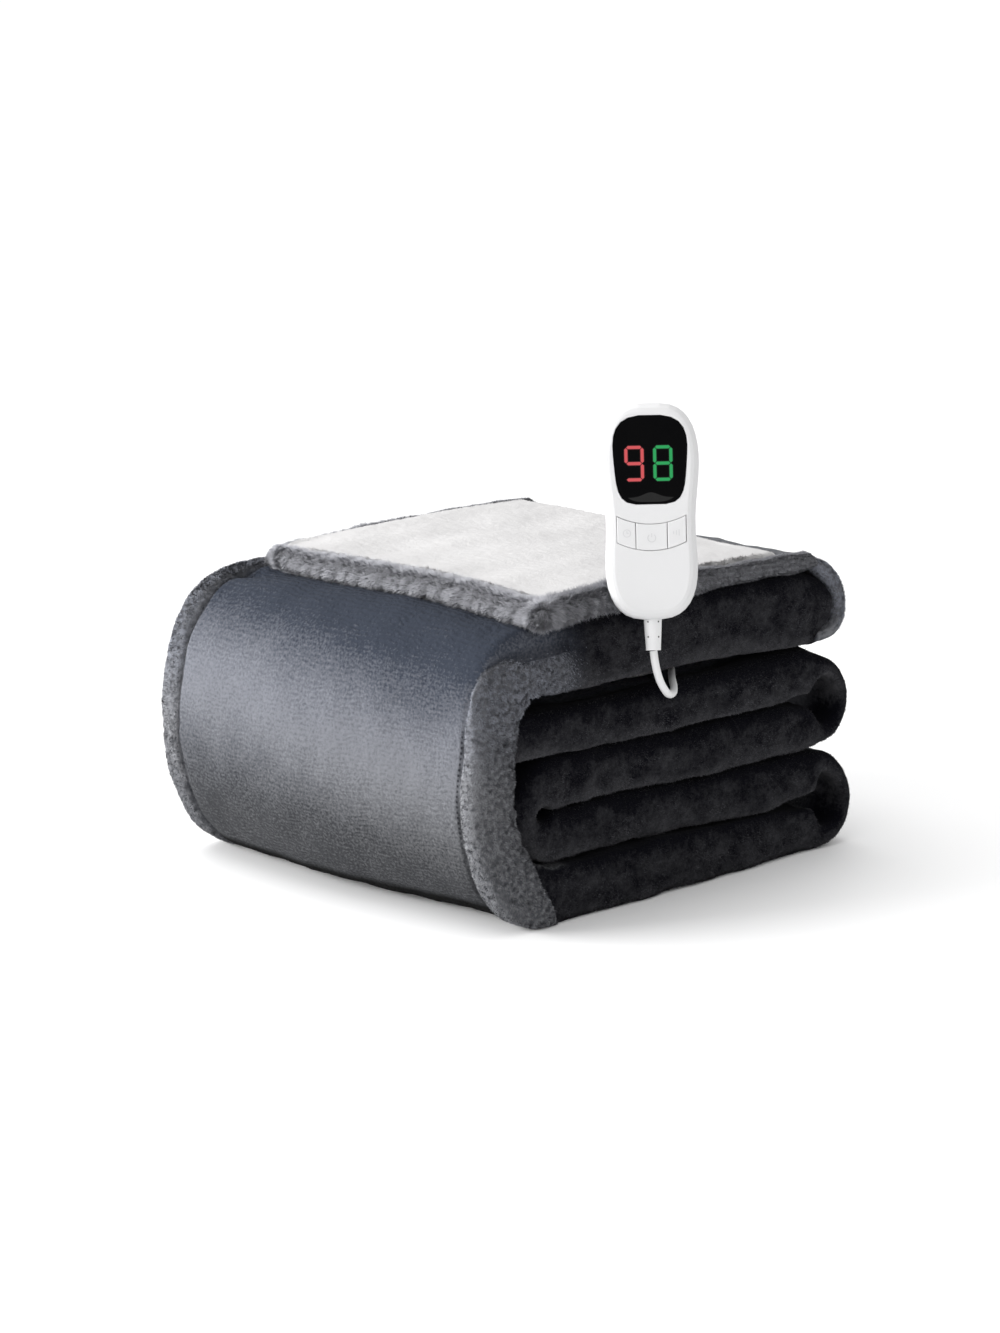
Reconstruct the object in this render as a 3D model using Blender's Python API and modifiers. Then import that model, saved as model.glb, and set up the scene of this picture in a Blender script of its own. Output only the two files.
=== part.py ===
"""Folded electric throw with its handset and lead.

The frame: +Z up, X along the front face (the side where the ends of the folds
show), Y from the front face to the back, origin on the ground under the middle
of the folded throw.  The throw is one continuous band of cloth, folded in four
across and then laid back and forth in five levels.  Its last stretch turns over
the top as a flap that shows the white pile side inside a rolled hem.
"""

import math
from collections import namedtuple

import bmesh
import bpy
from mathutils import Euler, Matrix, Vector

MM = 0.001
GAP = 0.3 * MM  # between two pieces that touch

# ------------------------------------------------------------ the folded band
FRONT = -150 * MM
BACK = 150 * MM
HEM_WIDTH = 28 * MM  # from the cloth's edge to the hem's stitched line
GROOVE_HALF = 3 * MM
GROOVE_DEPTH = 2.2 * MM
CROWN = 12 * MM  # how far in from its edge a level reaches full thickness
CROWN_POWER = 2.5  # 2 gives a round edge, more a flatter one
CROWN_STEPS = (0.0, 0.04, 0.18, 0.48, 1.0)
MIDDLE_STEPS = (0.2, 0.34, 0.5, 0.66, 0.8)  # fractions of the depth between the hems

# The flap is one cloth thick, with a rolled hem all round.
ROLL_WIDTH = 20 * MM
ROLL_SEAM = 0.85 * ROLL_WIDTH
ROLL_UP_LEFT = 9.5 * MM  # how far the roll stands over the cloth's middle line
ROLL_UP_RIGHT = 6.5 * MM
ROLL_DOWN = 4.4 * MM
FLAP_OVERHANG = 5 * MM
FLAP_BACK_INSET = 9 * MM
RIM = 10 * MM  # the flap's thickness where it turns down round level one
BODY_END = 14 * MM  # the rounded right end of level one inside the rim
BODY_STEP = 13 * MM
LEAD_POCKET = 3.5 * MM  # hollow in the top of level two, where the lead is stowed

# One row for each level, from the flap down the band: where it stops at the
# left and the right, the heights of its two faces at both of its ends, and how
# far its left end stands back from the front.
Level = namedtuple("Level", "x_left x_right low_left low_right top_left top_right inset")
LEVELS = {
    "flap": Level(-115, 148, 203.5, 199.5, 210.5, 205.5, 0),
    "one": Level(-117, 148, 154.0, 147.5, 202.0, 198.0, 0),
    "five": Level(-117, 153, 0.0, 0.0, 37.5, 33.0, 2),
    "four": Level(-110, 153, 38.5, 34.0, 71.5, 69.0, 5),
    "three": Level(-110, 147, 72.5, 70.0, 107.5, 105.5, 5),
    "two": Level(-128, 147, 108.5, 106.5, 141.0, 138.0, 5),
}
ORDER = tuple(LEVELS)
LEVEL_STEPS = 10

# One row for each fold in the same order: how far its outer face stands past
# the ends of its levels, the cloth outside and inside the band's middle line at
# its outermost point, and how far its lower half droops.
Fold = namedtuple("Fold", "reach outside inside droop steps")
FOLDS = (
    Fold(33, 5, 5, 5, 12),
    Fold(68, 16.5, 16.5, 0, 16),
    Fold(36, 16.5, 8, 0, 9),
    Fold(33, 15, 7, 0, 8),
    Fold(35, 17, 8, -4, 9),
)

# Unevenness of the whole pile, as smooth shifts of space.
WRAP_TUCK = 23 * MM  # the left wrap is drawn in towards its front edge
WRAP_TUCK_BACK = 6 * MM
BACK_SINK_LEFT = 7 * MM  # the top is lower at the back
BACK_SINK_RIGHT = 2 * MM
CORNER_SINK = 5 * MM  # the flap's near left corner hangs over the shoulder
RIPPLE = 0.9 * MM

# The white pile panel on the flap, inside its rolled hem.
PANEL_THICKNESS = 4 * MM
PANEL_EDGE_STEPS = (0.0, 0.25, 1.0)
PANEL_EDGE = 4 * MM
PANEL_END_HEIGHT = 0.4  # its edge's height, as a fraction of its thickness
PANEL_END_STATIONS = 2  # how many stations of the first fold it leaves bare

# ------------------------------------------------------------------ the handset
HANDSET_CENTRE = Vector((-29.4, -167.3, 263.9)) * MM  # it leans on the flap's front hem
HANDSET_TURN = math.radians(-43.0)  # about +Z
HANDSET_LEAN = math.radians(-13.5)  # top leans back
HANDSET_ROLL = math.radians(-1.2)
HALF_HEIGHT = 68.4 * MM
HALF_THICKNESS = 10 * MM
WAIST = 28.2 * MM  # half width
WAIST_HEIGHT = -8 * MM
LOBE = 5.4 * MM
LOBE_LENGTH = 36 * MM
HOUSING_ROUNDING = 5.5 * MM
OUTLINE_STEPS = 26

DISPLAY_HEIGHT = 32.2 * MM
DISPLAY_HALF_HEIGHT = 28.1 * MM
DISPLAY_HALF_TOP = 25.2 * MM
DISPLAY_HALF_BOTTOM = 20.8 * MM
DISPLAY_THICKNESS = 1.6 * MM

KEY_ARC = 48 * MM  # radius of the keys' upper and lower edges
KEY_TOP = -8.5 * MM
KEY_BOTTOM = -25.0 * MM
KEY_SPLIT = 9.8 * MM
KEY_OUTER = 21.8 * MM
KEY_STEP = 2.4 * MM  # between two points of its arcs
KEY_THICKNESS = 2.6 * MM
KEY_TRAVEL = 0.8 * MM
KEY_PROUD = 0.2 * MM

RELIEF_TOP_RADIUS = 6.0 * MM
RELIEF_END_RADIUS = 4.7 * MM
RELIEF_LENGTH = 19.5 * MM
RELIEF_SOCKET = 6 * MM

# --------------------------------------------------------------------- the lead
LEAD_DIAMETER = 5 * MM
LEAD_STEP = 8 * MM
CURVE_STEPS = 12  # between two points of the route
COIL_TURNS = 5  # in each of two layers
COIL_OUTER_TURN = 39 * MM
COIL_CENTRE = Vector((27.5, -73.9, 0)) * MM
COIL_LOW = 137.4 * MM
COIL_HEIGHT = 2 * LEAD_DIAMETER + 2 * GAP
COIL_SIDES = 40
# From the strain relief down, back under level one and on to the coil.
LEAD_ROUTE = [
    Vector(point) * MM
    for point in (
        (-42.1, -183.6, 178.1),
        (-43.3, -185.1, 170.0),
        (-41.6, -185.6, 160.5),
        (-35.0, -183.4, 152.2),
        (-24.5, -178.2, 146.2),
        (-11.8, -171.2, 143.2),
        (1.5, -162.0, 143.8),
        (12.8, -152.6, 144.6),
        (21.4, -142.6, 144.0),
        (29.0, -133.0, 141.7),
        (36.4, -124.1, 140.7),
        (43.9, -115.1, 140.3),
    )
]

Station = namedtuple(
    "Station", "x z nx nz left right edge_left edge_right front back crown seam groove end"
)


def smooth(value, low, high):
    """0 below low, 1 above high, an even S between them."""
    t = min(1.0, max(0.0, (value - low) / (high - low)))
    return t * t * (3 - 2 * t)


def mix(a, b, t):
    return a + (b - a) * t


def swell(u, power=CROWN_POWER):
    """Height of a rounded edge, 0 to 1, at the fraction u of its depth."""
    u = min(1.0, max(0.0, u))
    return (1 - (1 - u) ** power) ** (1 / power)


# ------------------------------------------------------------------- the cloth
def drape(x, y, z):
    """The same small shifts for every piece of cloth, so that layers stay apart."""
    left = 1 - smooth(x, -122 * MM, -40 * MM)
    wrap = left * (1 - smooth(z, 120 * MM, 204 * MM))
    sink = mix(BACK_SINK_LEFT, BACK_SINK_RIGHT, smooth(x, -100 * MM, 120 * MM))
    lift = smooth(z, 12 * MM, 36 * MM) * (1 - smooth(z, 185 * MM, 205 * MM))
    wave = math.sin(x / (31 * MM) + z / (24 * MM)) + math.sin(y / (43 * MM) - z / (37 * MM))
    moved_x = x + wrap * WRAP_TUCK * (1 - smooth(y, FRONT, FRONT + 190 * MM))
    moved_x += wrap * WRAP_TUCK_BACK * smooth(y, BACK - 45 * MM, BACK)
    moved_z = z + RIPPLE * lift * wave
    moved_z -= sink * smooth(y, FRONT + 30 * MM, BACK) * smooth(z, 100 * MM, 190 * MM)
    near = 1 - smooth(y, FRONT, FRONT + 110 * MM)
    moved_z -= CORNER_SINK * left * near * smooth(z, 120 * MM, 195 * MM)
    return Vector((moved_x, y, moved_z))


def flap_station(level, x, low, top, end):
    """The flap: thin cloth, thicker in its rolled hem along three edges."""
    half = (top - low) / 2
    roll = mix(ROLL_UP_LEFT, ROLL_UP_RIGHT, smooth(x, -80 * MM, 120 * MM))
    hump = 1 - smooth(x, level.x_left * MM + ROLL_WIDTH / 2, level.x_left * MM + ROLL_WIDTH)
    overhang = FLAP_OVERHANG * (1 - smooth(x, -60 * MM, 130 * MM))
    heights = (mix(half, roll, hump), mix(half, ROLL_DOWN, hump), roll, ROLL_DOWN)
    edges = (FRONT - overhang, BACK - FLAP_BACK_INSET)
    return Station(x, low + half, 0.0, 1.0, *heights, *edges, ROLL_WIDTH / 2, ROLL_SEAM, 0.0, end)


def first_station(level, x, low, top, end):
    """Level one: its middle line starts low, at the rim that comes round its right end."""
    from_rim = level.x_right * MM - x
    near_rim = 1 - smooth(from_rim, 0, 30 * MM)
    height = mix(low + RIM / 2, (low + top) / 2, smooth(from_rim, 12 * MM, 60 * MM))
    up = mix(BODY_STEP, top - height, swell(from_rim / BODY_END))
    down = height - low
    groove = GROOVE_DEPTH * (1 - smooth(x, -100 * MM, -60 * MM))
    hem = (mix(CROWN, ROLL_WIDTH / 2, near_rim), mix(HEM_WIDTH, ROLL_SEAM, near_rim))
    return Station(x, height, 0.0, -1.0, down, up, down, up, FRONT, BACK, *hem, groove, end)


def level_station(name, x, end=1.0):
    level = LEVELS[name]
    t = (x / MM - level.x_left) / (level.x_right - level.x_left)
    low = mix(level.low_left, level.low_right, t) * MM
    top = mix(level.top_left, level.top_right, t) * MM
    if name == "flap":
        return flap_station(level, x, low, top, end)
    if name == "one":
        return first_station(level, x, low, top, end)
    inset = level.inset * MM * (1 - smooth(x, -20 * MM, 120 * MM))
    half = (top - low) / 2
    side = 1.0 if ORDER.index(name) % 2 == 0 else -1.0
    pocket = LEAD_POCKET * (1 - smooth(x, 80 * MM, 140 * MM)) if name == "two" else 0.0
    heights = (half, half - pocket, half, half)
    edges = (FRONT + inset, BACK - inset / 2)
    return Station(x, low + half, 0.0, side, *heights, *edges, CROWN, HEM_WIDTH, 0.0, end)


def level_stations(name):
    """The stations of one level in the band's direction, without those of its folds."""
    level = LEVELS[name]
    left, right = level.x_left * MM, level.x_right * MM
    marks = [(mix(left, right, k / LEVEL_STEPS), 1.0) for k in range(1, LEVEL_STEPS)]
    if name == "flap":
        half_roll = ROLL_WIDTH / 2
        start = [(left + half_roll * u, max(0.22, swell(u, 2.0))) for u in (0.0, 0.06, 0.25, 0.6)]
        start += [(left + half_roll * u, 1.0) for u in (1.0, 1.35, 1.7, 2.1)]
    elif name == "two":
        start = [(left + CROWN * u, max(0.25, swell(u))) for u in (0.0, 0.06, 0.3, 1.0)]
    else:
        start = [(left, 1.0)]
    finish = [(right, 1.0)]
    if name == "one":
        finish = [(right - BODY_END * u, 1.0) for u in (1.0, 0.45, 0.18, 0.04, 0.0)]
    stations = [level_station(name, x, end) for x, end in start + marks + finish]
    return stations if stations[0].nz > 0 else stations[::-1]


def fold_stations(before, after, fold):
    """A half oval from the last station of one level to the first of the next."""
    outward = before.nz  # +1 for a fold at the right, -1 for one at the left
    inside_left = (outward > 0) != (after.z < before.z)
    rise = (before.z - after.z) / 2
    reach = (fold.reach - fold.outside) * MM
    stations = []
    for k in range(1, fold.steps):
        t = k / fold.steps
        angle = math.pi * t
        bulge = math.sin(angle)
        x = mix(before.x, after.x, t) + outward * reach * bulge
        droop = fold.droop * MM * bulge * smooth(t, 0.3, 0.9)
        z = after.z + rise + rise * math.cos(angle) - droop
        along = Vector((outward * reach * math.cos(angle), -rise * math.sin(angle))).normalized()
        halves = []
        for at_start, at_end, inner in (
            (before.left, after.left, inside_left),
            (before.right, after.right, not inside_left),
        ):
            apex = (fold.inside if inner else fold.outside) * MM
            weight = bulge if inner else bulge * bulge
            halves.append(mix(mix(at_start, at_end, smooth(t, 0.35, 0.65)), apex, weight))
        if fold is FOLDS[0]:
            halves = [RIM / 2, mix(RIM / 2, BODY_STEP, smooth(t, 0.6, 1.0))]
        shared = [mix(a, b, t) for a, b in zip(before[8:13], after[8:13])]
        stations.append(Station(x, z, -along[1], along[0], *halves, *halves, *shared, 1.0))
    return stations


def band_stations():
    stations = level_stations(ORDER[0])
    for name, fold in zip(ORDER[1:], FOLDS):
        level = level_stations(name)
        stations += fold_stations(stations[-1], level[0], fold) + level
    return stations


def panel_stations(band):
    """The flap's stations inside its rolled hem, and those of the first fold but its last ones."""
    start = LEVELS["flap"].x_left * MM + ROLL_WIDTH
    count = len(level_stations("flap")) + FOLDS[0].steps - 1 - PANEL_END_STATIONS
    return [station for station in band[:count] if station.x > start]


def edge_distances(station):
    """Distances from the front or back edge at which the band's hem has a line of points."""
    hem = [station.seam - GROOVE_HALF, station.seam, station.seam + GROOVE_HALF]
    return [station.crown * u for u in CROWN_STEPS] + hem


def side_height(station, v, full, edge, groove):
    """Thickness on one side of the middle line at the distance v from the front edge."""
    v = min(v, station.back - station.front - v)
    height = mix(max(edge, full), full, smooth(v, station.crown, station.seam + GROOVE_HALF))
    height *= swell(v / station.crown)
    if abs(v - station.seam) < GROOVE_HALF / 2:
        height -= groove
    return height * station.end


def offset_point(station, v, height):
    return drape(station.x + station.nx * height, station.front + v, station.z + station.nz * height)


def section(station):
    """The closed ring of points of the band at one station."""
    depth = station.back - station.front
    edge = edge_distances(station)
    line = edge + [depth * u for u in MIDDLE_STEPS] + [depth - v for v in reversed(edge)]
    ring = []
    for v in line:
        height = side_height(station, v, station.left, station.edge_left, 0.0)
        ring.append(offset_point(station, v, height))
    for v in line[-2:0:-1]:
        height = side_height(station, v, station.right, station.edge_right, station.groove)
        ring.append(offset_point(station, v, -height))
    return ring


def panel_section(station, end):
    """The ring of the pile panel over the flap's upper face, in step with the band's own points."""
    depth = station.back - station.front
    start = station.seam + GROOVE_HALF
    edge = [start + PANEL_EDGE * u for u in PANEL_EDGE_STEPS]
    line = edge + [depth * u for u in MIDDLE_STEPS] + [depth - v for v in reversed(edge)]
    upper, lower = [], []
    for v in line:
        inward = min(v, depth - v) - start
        height = GAP + PANEL_THICKNESS * end * max(PANEL_END_HEIGHT, swell(inward / PANEL_EDGE))
        upper.append(offset_point(station, v, station.left + height))
        lower.append(offset_point(station, v, station.left + GAP))
    return upper + lower[::-1]


def loft(name, rings, material, apart):
    """A closed body through rings of equal count, with a strip of faces over each end.

    A ring runs along its upper side and back along its lower side.  apart is 0 where
    the two sides share their end points and 1 where each side has its own.
    """
    mesh = bmesh.new()
    rows = [[mesh.verts.new(point) for point in ring] for ring in rings]
    count = len(rows[0])
    for one, two in zip(rows, rows[1:]):
        for k in range(count):
            j = (k + 1) % count
            mesh.faces.new((one[k], one[j], two[j], two[k]))
    for row in (rows[0], rows[-1]):
        for k in range(count // 2 - apart):
            corners = (row[k], row[k + 1], row[-k - 1 - apart], row[-k - apart])
            mesh.faces.new(tuple(dict.fromkeys(corners)))
    bmesh.ops.recalc_face_normals(mesh, faces=mesh.faces)
    return add_part(name, finish_mesh(name, mesh), material)


def build_panel(band):
    stations = panel_stations(band)
    ends = [PANEL_END_HEIGHT] + [1.0] * (len(stations) - 2) + [PANEL_END_HEIGHT]
    rings = [panel_section(station, end) for station, end in zip(stations, ends)]
    loft("pile_panel", rings, WHITE_PILE, 1)


# --------------------------------------------------------------------- helpers
def finish_mesh(name, mesh):
    data = bpy.data.meshes.new(name)
    mesh.to_mesh(data)
    mesh.free()
    data.shade_smooth()
    data.set_sharp_from_angle(angle=math.radians(40))
    return data


def add_part(name, data, material, parent=None, location=(0, 0, 0)):
    thing = bpy.data.objects.new(name, data)
    thing.location = location
    thing.parent = parent
    if material:
        data.materials.clear()
        data.materials.append(material)
        PARTS.objects.link(thing)
    else:
        thing.hide_render = True
        thing.display_type = "WIRE"
        CUTTERS.objects.link(thing)
    return thing


def make_material(name, colour, roughness, metallic=0.0):
    material = bpy.data.materials.new(name)
    material.use_nodes = True
    shader = material.node_tree.nodes["Principled BSDF"]
    shader.inputs["Base Color"].default_value = (*colour, 1)
    shader.inputs["Roughness"].default_value = roughness
    shader.inputs["Metallic"].default_value = metallic
    return material


def curve_mesh(name, curve, turn=None):
    """A welded mesh of a bevelled or filled curve."""
    thing = bpy.data.objects.new(name, curve)
    bpy.context.scene.collection.objects.link(thing)
    bpy.context.view_layer.update()
    evaluated = thing.evaluated_get(bpy.context.evaluated_depsgraph_get())
    data = bpy.data.meshes.new_from_object(evaluated)
    bpy.data.objects.remove(thing)
    mesh = bmesh.new()
    mesh.from_mesh(data)
    bmesh.ops.remove_doubles(mesh, verts=mesh.verts, dist=0.01 * MM)
    if turn:
        bmesh.ops.transform(mesh, matrix=turn, verts=mesh.verts)
    bmesh.ops.recalc_face_normals(mesh, faces=mesh.faces)
    bpy.data.meshes.remove(data)
    return finish_mesh(name, mesh)


def plate(name, outline, front, back, rounding, rings):
    """A flat plate: outline in the handset's width and height, front and back depths."""
    curve = bpy.data.curves.new(name, "CURVE")
    curve.dimensions = "2D"
    curve.fill_mode = "BOTH"
    curve.extrude = (back - front) / 2 - rounding
    curve.bevel_depth = rounding
    curve.bevel_resolution = rings
    curve.offset = -rounding
    spline = curve.splines.new("POLY")
    spline.points.add(len(outline) - 1)
    for point, (u, w) in zip(spline.points, outline):
        point.co = (u, w, 0, 1)
    spline.use_cyclic_u = True
    turn = Matrix.Translation((0, (front + back) / 2, 0)) @ Matrix.Rotation(math.pi / 2, 4, "X")
    return curve_mesh(name, curve, turn)


# ----------------------------------------------------------------- the handset
def closed_outline(half_width, low, high, steps):
    """Points round a shape that is even left and right, with more of them near its ends."""
    angles = [math.pi * (k + 0.5) / steps for k in range(steps)]
    heights = [(low + high) / 2 + (high - low) / 2 * math.cos(a) for a in angles]
    right = [(half_width(w), w) for w in heights]
    left = [(-half_width(w), w) for w in reversed(heights)]
    return right + left


def housing_half_width(w):
    lobes = 1 - math.exp(-(((w - WAIST_HEIGHT) / LOBE_LENGTH) ** 2))
    power = 3.2 if w > 0 else 3.0
    return (WAIST + LOBE * lobes) * (1 - abs(w / HALF_HEIGHT) ** power) ** (1 / power)


def display_half_width(w, margin=0.0):
    t = (w - DISPLAY_HEIGHT) / (DISPLAY_HALF_HEIGHT + margin)
    side = mix(DISPLAY_HALF_BOTTOM, DISPLAY_HALF_TOP, (t + 1) / 2) + margin
    power = 3.0 if t > 0 else 4.5
    return side * (1 - abs(t) ** power) ** (1 / power)


def display_outline(margin=0.0):
    half = DISPLAY_HALF_HEIGHT + margin
    low, high = DISPLAY_HEIGHT - half, DISPLAY_HEIGHT + half
    return closed_outline(lambda w: display_half_width(w, margin), low, high, 14)


def key_outline(low_u, high_u, margin=0.0):
    """A key between two arcs that rise to both sides of the handset."""
    low_u, high_u = low_u - margin, high_u + margin
    steps = max(4, round((high_u - low_u) / KEY_STEP))
    across = [mix(low_u, high_u, k / steps) for k in range(steps + 1)]
    rise = [KEY_ARC - math.sqrt(KEY_ARC**2 - u**2) for u in across]
    top = [(u, KEY_TOP + margin + r) for u, r in zip(across, rise)]
    bottom = [(u, KEY_BOTTOM - margin + r) for u, r in zip(across, rise)]
    return bottom + top[::-1]


def cut(body, cutter):
    modifier = body.modifiers.new(cutter.name, "BOOLEAN")
    modifier.operation = "DIFFERENCE"
    modifier.solver = "EXACT"
    modifier.object = cutter


def build_handset():
    frame = bpy.data.objects.new("handset_frame", None)
    frame.location = HANDSET_CENTRE
    turn = Euler((HANDSET_LEAN, HANDSET_ROLL, HANDSET_TURN), "YXZ")
    frame.rotation_mode = "YXZ"
    frame.rotation_euler = turn
    PARTS.objects.link(frame)
    front = -HALF_THICKNESS

    outline = closed_outline(housing_half_width, -HALF_HEIGHT, HALF_HEIGHT, OUTLINE_STEPS)
    shell = plate("handset_housing", outline, front, HALF_THICKNESS, HOUSING_ROUNDING, 3)
    housing = add_part("handset_housing", shell, WHITE, frame)

    floor = front + DISPLAY_THICKNESS + GAP
    window = plate("display_window", display_outline(), front, front + DISPLAY_THICKNESS, 0.3 * MM, 1)
    add_part("display_window", window, BLACK, frame)
    pocket = plate("display_pocket", display_outline(GAP), front - 5 * MM, floor, 0, 0)
    cut(housing, add_part("display_pocket", pocket, None, frame))

    floor = front + KEY_THICKNESS + KEY_TRAVEL + GAP
    for name, low_u, high_u in (
        ("key_left", -KEY_OUTER, -KEY_SPLIT - GAP),
        ("key_middle", -KEY_SPLIT, KEY_SPLIT),
        ("key_right", KEY_SPLIT + GAP, KEY_OUTER),
    ):
        centre = Vector(((low_u + high_u) / 2, front, (KEY_TOP + KEY_BOTTOM) / 2))
        face = front - KEY_PROUD
        key = plate(name, key_outline(low_u, high_u), face, face + KEY_THICKNESS, 0.5 * MM, 1)
        key.transform(Matrix.Translation(-centre))
        add_part(name, key, WHITE, frame, centre)
    outline = key_outline(-KEY_OUTER, KEY_OUTER, GAP)
    pocket = plate("key_pocket", outline, front - 5 * MM, floor, 0, 0)
    cut(housing, add_part("key_pocket", pocket, None, frame))

    top = -HALF_HEIGHT + RELIEF_SOCKET
    length = RELIEF_LENGTH + RELIEF_SOCKET
    relief = turned_cone("strain_relief", RELIEF_END_RADIUS, RELIEF_TOP_RADIUS, length)
    add_part("strain_relief", relief, WHITE, frame, (0, 0, top - length / 2))
    radius = RELIEF_TOP_RADIUS + GAP
    socket = turned_cone("relief_socket", radius, radius, 2 * RELIEF_SOCKET)
    cut(housing, add_part("relief_socket", socket, None, frame, (0, 0, top + GAP - RELIEF_SOCKET)))


def turned_cone(name, low_radius, high_radius, height):
    mesh = bmesh.new()
    bmesh.ops.create_cone(
        mesh, cap_ends=True, segments=24, radius1=low_radius, radius2=high_radius, depth=height
    )
    return finish_mesh(name, mesh)


# -------------------------------------------------------------------- the lead
def smooth_line(points, step):
    """Points about a step apart on a smooth curve through the route's own points."""
    ends = [points[0] * 2 - points[1], *points, points[-1] * 2 - points[-2]]
    fine = [points[0]]
    for a, b, c, d in zip(ends, ends[1:], ends[2:], ends[3:]):
        square = 2 * a - 5 * b + 4 * c - d
        cube = 3 * b - a - 3 * c + d
        for k in range(1, CURVE_STEPS + 1):
            t = k / CURVE_STEPS
            fine.append(b + (c - a) * (t / 2) + square * (t**2 / 2) + cube * (t**3 / 2))
    lengths = [0.0]
    for one, two in zip(fine, fine[1:]):
        lengths.append(lengths[-1] + (two - one).length)
    count = round(lengths[-1] / step)
    line, index = [], 0
    for k in range(count + 1):
        goal = lengths[-1] * k / count
        while index < len(fine) - 2 and lengths[index + 1] < goal:
            index += 1
        t = (goal - lengths[index]) / (lengths[index + 1] - lengths[index])
        line.append(fine[index].lerp(fine[index + 1], min(1.0, t)))
    return line


def build_lead():
    curve = bpy.data.curves.new("lead", "CURVE")
    curve.dimensions = "3D"
    curve.bevel_depth = LEAD_DIAMETER / 2
    curve.bevel_resolution = 2
    curve.use_fill_caps = True
    line = smooth_line(LEAD_ROUTE, LEAD_STEP)
    spline = curve.splines.new("POLY")
    spline.points.add(len(line) - 1)
    for point, place in zip(spline.points, line):
        point.co = (*place, 1)
    curve.materials.append(WHITE)
    lead = bpy.data.objects.new("lead", curve)
    PARTS.objects.link(lead)


def build_coil():
    """The wound length of the lead, as the turned outer shape of its two layers of turns."""
    outer = COIL_OUTER_TURN + LEAD_DIAMETER / 2 + GAP
    inner = COIL_OUTER_TURN - (COIL_TURNS - 0.5) * LEAD_DIAMETER - GAP
    ease = LEAD_DIAMETER / 4
    low, high = 0.0, COIL_HEIGHT
    profile = [
        (outer, high - ease),
        (outer, low + ease),
        (outer - ease, low),
        (inner + ease, low),
        (inner, low + ease),
        (inner, high - ease),
        (inner + ease, high),
        (outer - ease, high),
    ]
    mesh = bmesh.new()
    corners = [mesh.verts.new((x, 0, z)) for x, z in profile]
    for one, two in zip(corners, corners[1:] + corners[:1]):
        mesh.edges.new((one, two))
    coil = add_part("lead_coil", finish_mesh("lead_coil", mesh), WHITE)
    coil.location = COIL_CENTRE + Vector((0, 0, COIL_LOW))
    screw = coil.modifiers.new("turn", "SCREW")
    screw.steps = COIL_SIDES
    screw.render_steps = COIL_SIDES
    screw.use_merge_vertices = True
    screw.merge_threshold = 0.00001


for leftover in list(bpy.data.objects):
    bpy.data.objects.remove(leftover)
PARTS = bpy.data.collections.new("electric_throw")
CUTTERS = bpy.data.collections.new("cutters")
for group in (PARTS, CUTTERS):
    bpy.context.scene.collection.children.link(group)

GREY_PLUSH = make_material("grey_plush", (0.07, 0.075, 0.085), 0.9)
WHITE_PILE = make_material("white_pile", (0.86, 0.85, 0.84), 0.95)
WHITE = make_material("white_plastic", (0.85, 0.85, 0.85), 0.3)
BLACK = make_material("black_glass", (0.004, 0.004, 0.005), 0.06)

band = band_stations()
loft("blanket", [section(station) for station in band], GREY_PLUSH, 0)
build_panel(band)
build_handset()
build_lead()
build_coil()
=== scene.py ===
"""Looks of the folded electric throw: plush cloth, piled hems, white pile, handset and lead.

Lengths are in metres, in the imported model's own frame: +Z up, X along the front
face, Y from the front face to the back.
"""

import math
from collections import namedtuple

import bpy
import numpy as np
from mathutils import Euler, Matrix, Vector, noise


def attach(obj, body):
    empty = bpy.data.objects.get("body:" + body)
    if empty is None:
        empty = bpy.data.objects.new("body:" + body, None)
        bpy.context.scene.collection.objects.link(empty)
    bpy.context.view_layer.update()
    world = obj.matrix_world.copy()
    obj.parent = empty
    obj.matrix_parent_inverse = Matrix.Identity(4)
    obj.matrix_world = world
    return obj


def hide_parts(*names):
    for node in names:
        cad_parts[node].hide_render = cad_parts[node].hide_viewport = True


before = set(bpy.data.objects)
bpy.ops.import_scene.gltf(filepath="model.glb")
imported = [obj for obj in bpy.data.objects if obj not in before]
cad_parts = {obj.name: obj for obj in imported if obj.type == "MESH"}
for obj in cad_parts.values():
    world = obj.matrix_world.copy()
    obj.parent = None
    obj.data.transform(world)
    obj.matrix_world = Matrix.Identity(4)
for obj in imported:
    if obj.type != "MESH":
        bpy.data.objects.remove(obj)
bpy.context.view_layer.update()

MM = 0.001
GAP = 0.3 * MM
BODY = "throw"
noise.seed_set(1)  # without it, noise_vector differs from run to run

# ------------------------------------------------------------------- the camera
CAMERA_TURN = math.radians(-43.0)
CAMERA_HEIGHT = math.radians(13.5)
CAMERA_DISTANCE = 2.3
CAMERA_TARGET = Vector((-0.09737, -0.10053, 0.16242))
SENSOR = 36.0
LENS = SENSOR * 3593.75 / 1333  # the photograph's focal length over its height, both in pixels

# ------------------------------------------------------------ the folded band
FRONT = -150 * MM
BACK = 150 * MM
HEM_WIDTH = 27 * MM
GROOVE_HALF = 3 * MM
CROWN = 11 * MM
CROWN_POWER = 2.5
ROLL_WIDTH = 20 * MM
ROLL_SEAM = 0.85 * ROLL_WIDTH
ROLL_UP_LEFT = 9.5 * MM
ROLL_UP_RIGHT = 6.5 * MM
ROLL_DOWN = 4.4 * MM
FLAP_OVERHANG = 5 * MM
FLAP_BACK_INSET = 9 * MM
CORNER_CUT = 26 * MM  # how much further in the flap's back left corner lies
RIM = 10 * MM
BODY_END = 30 * MM
LEAD_POCKET = 5.5 * MM

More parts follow.
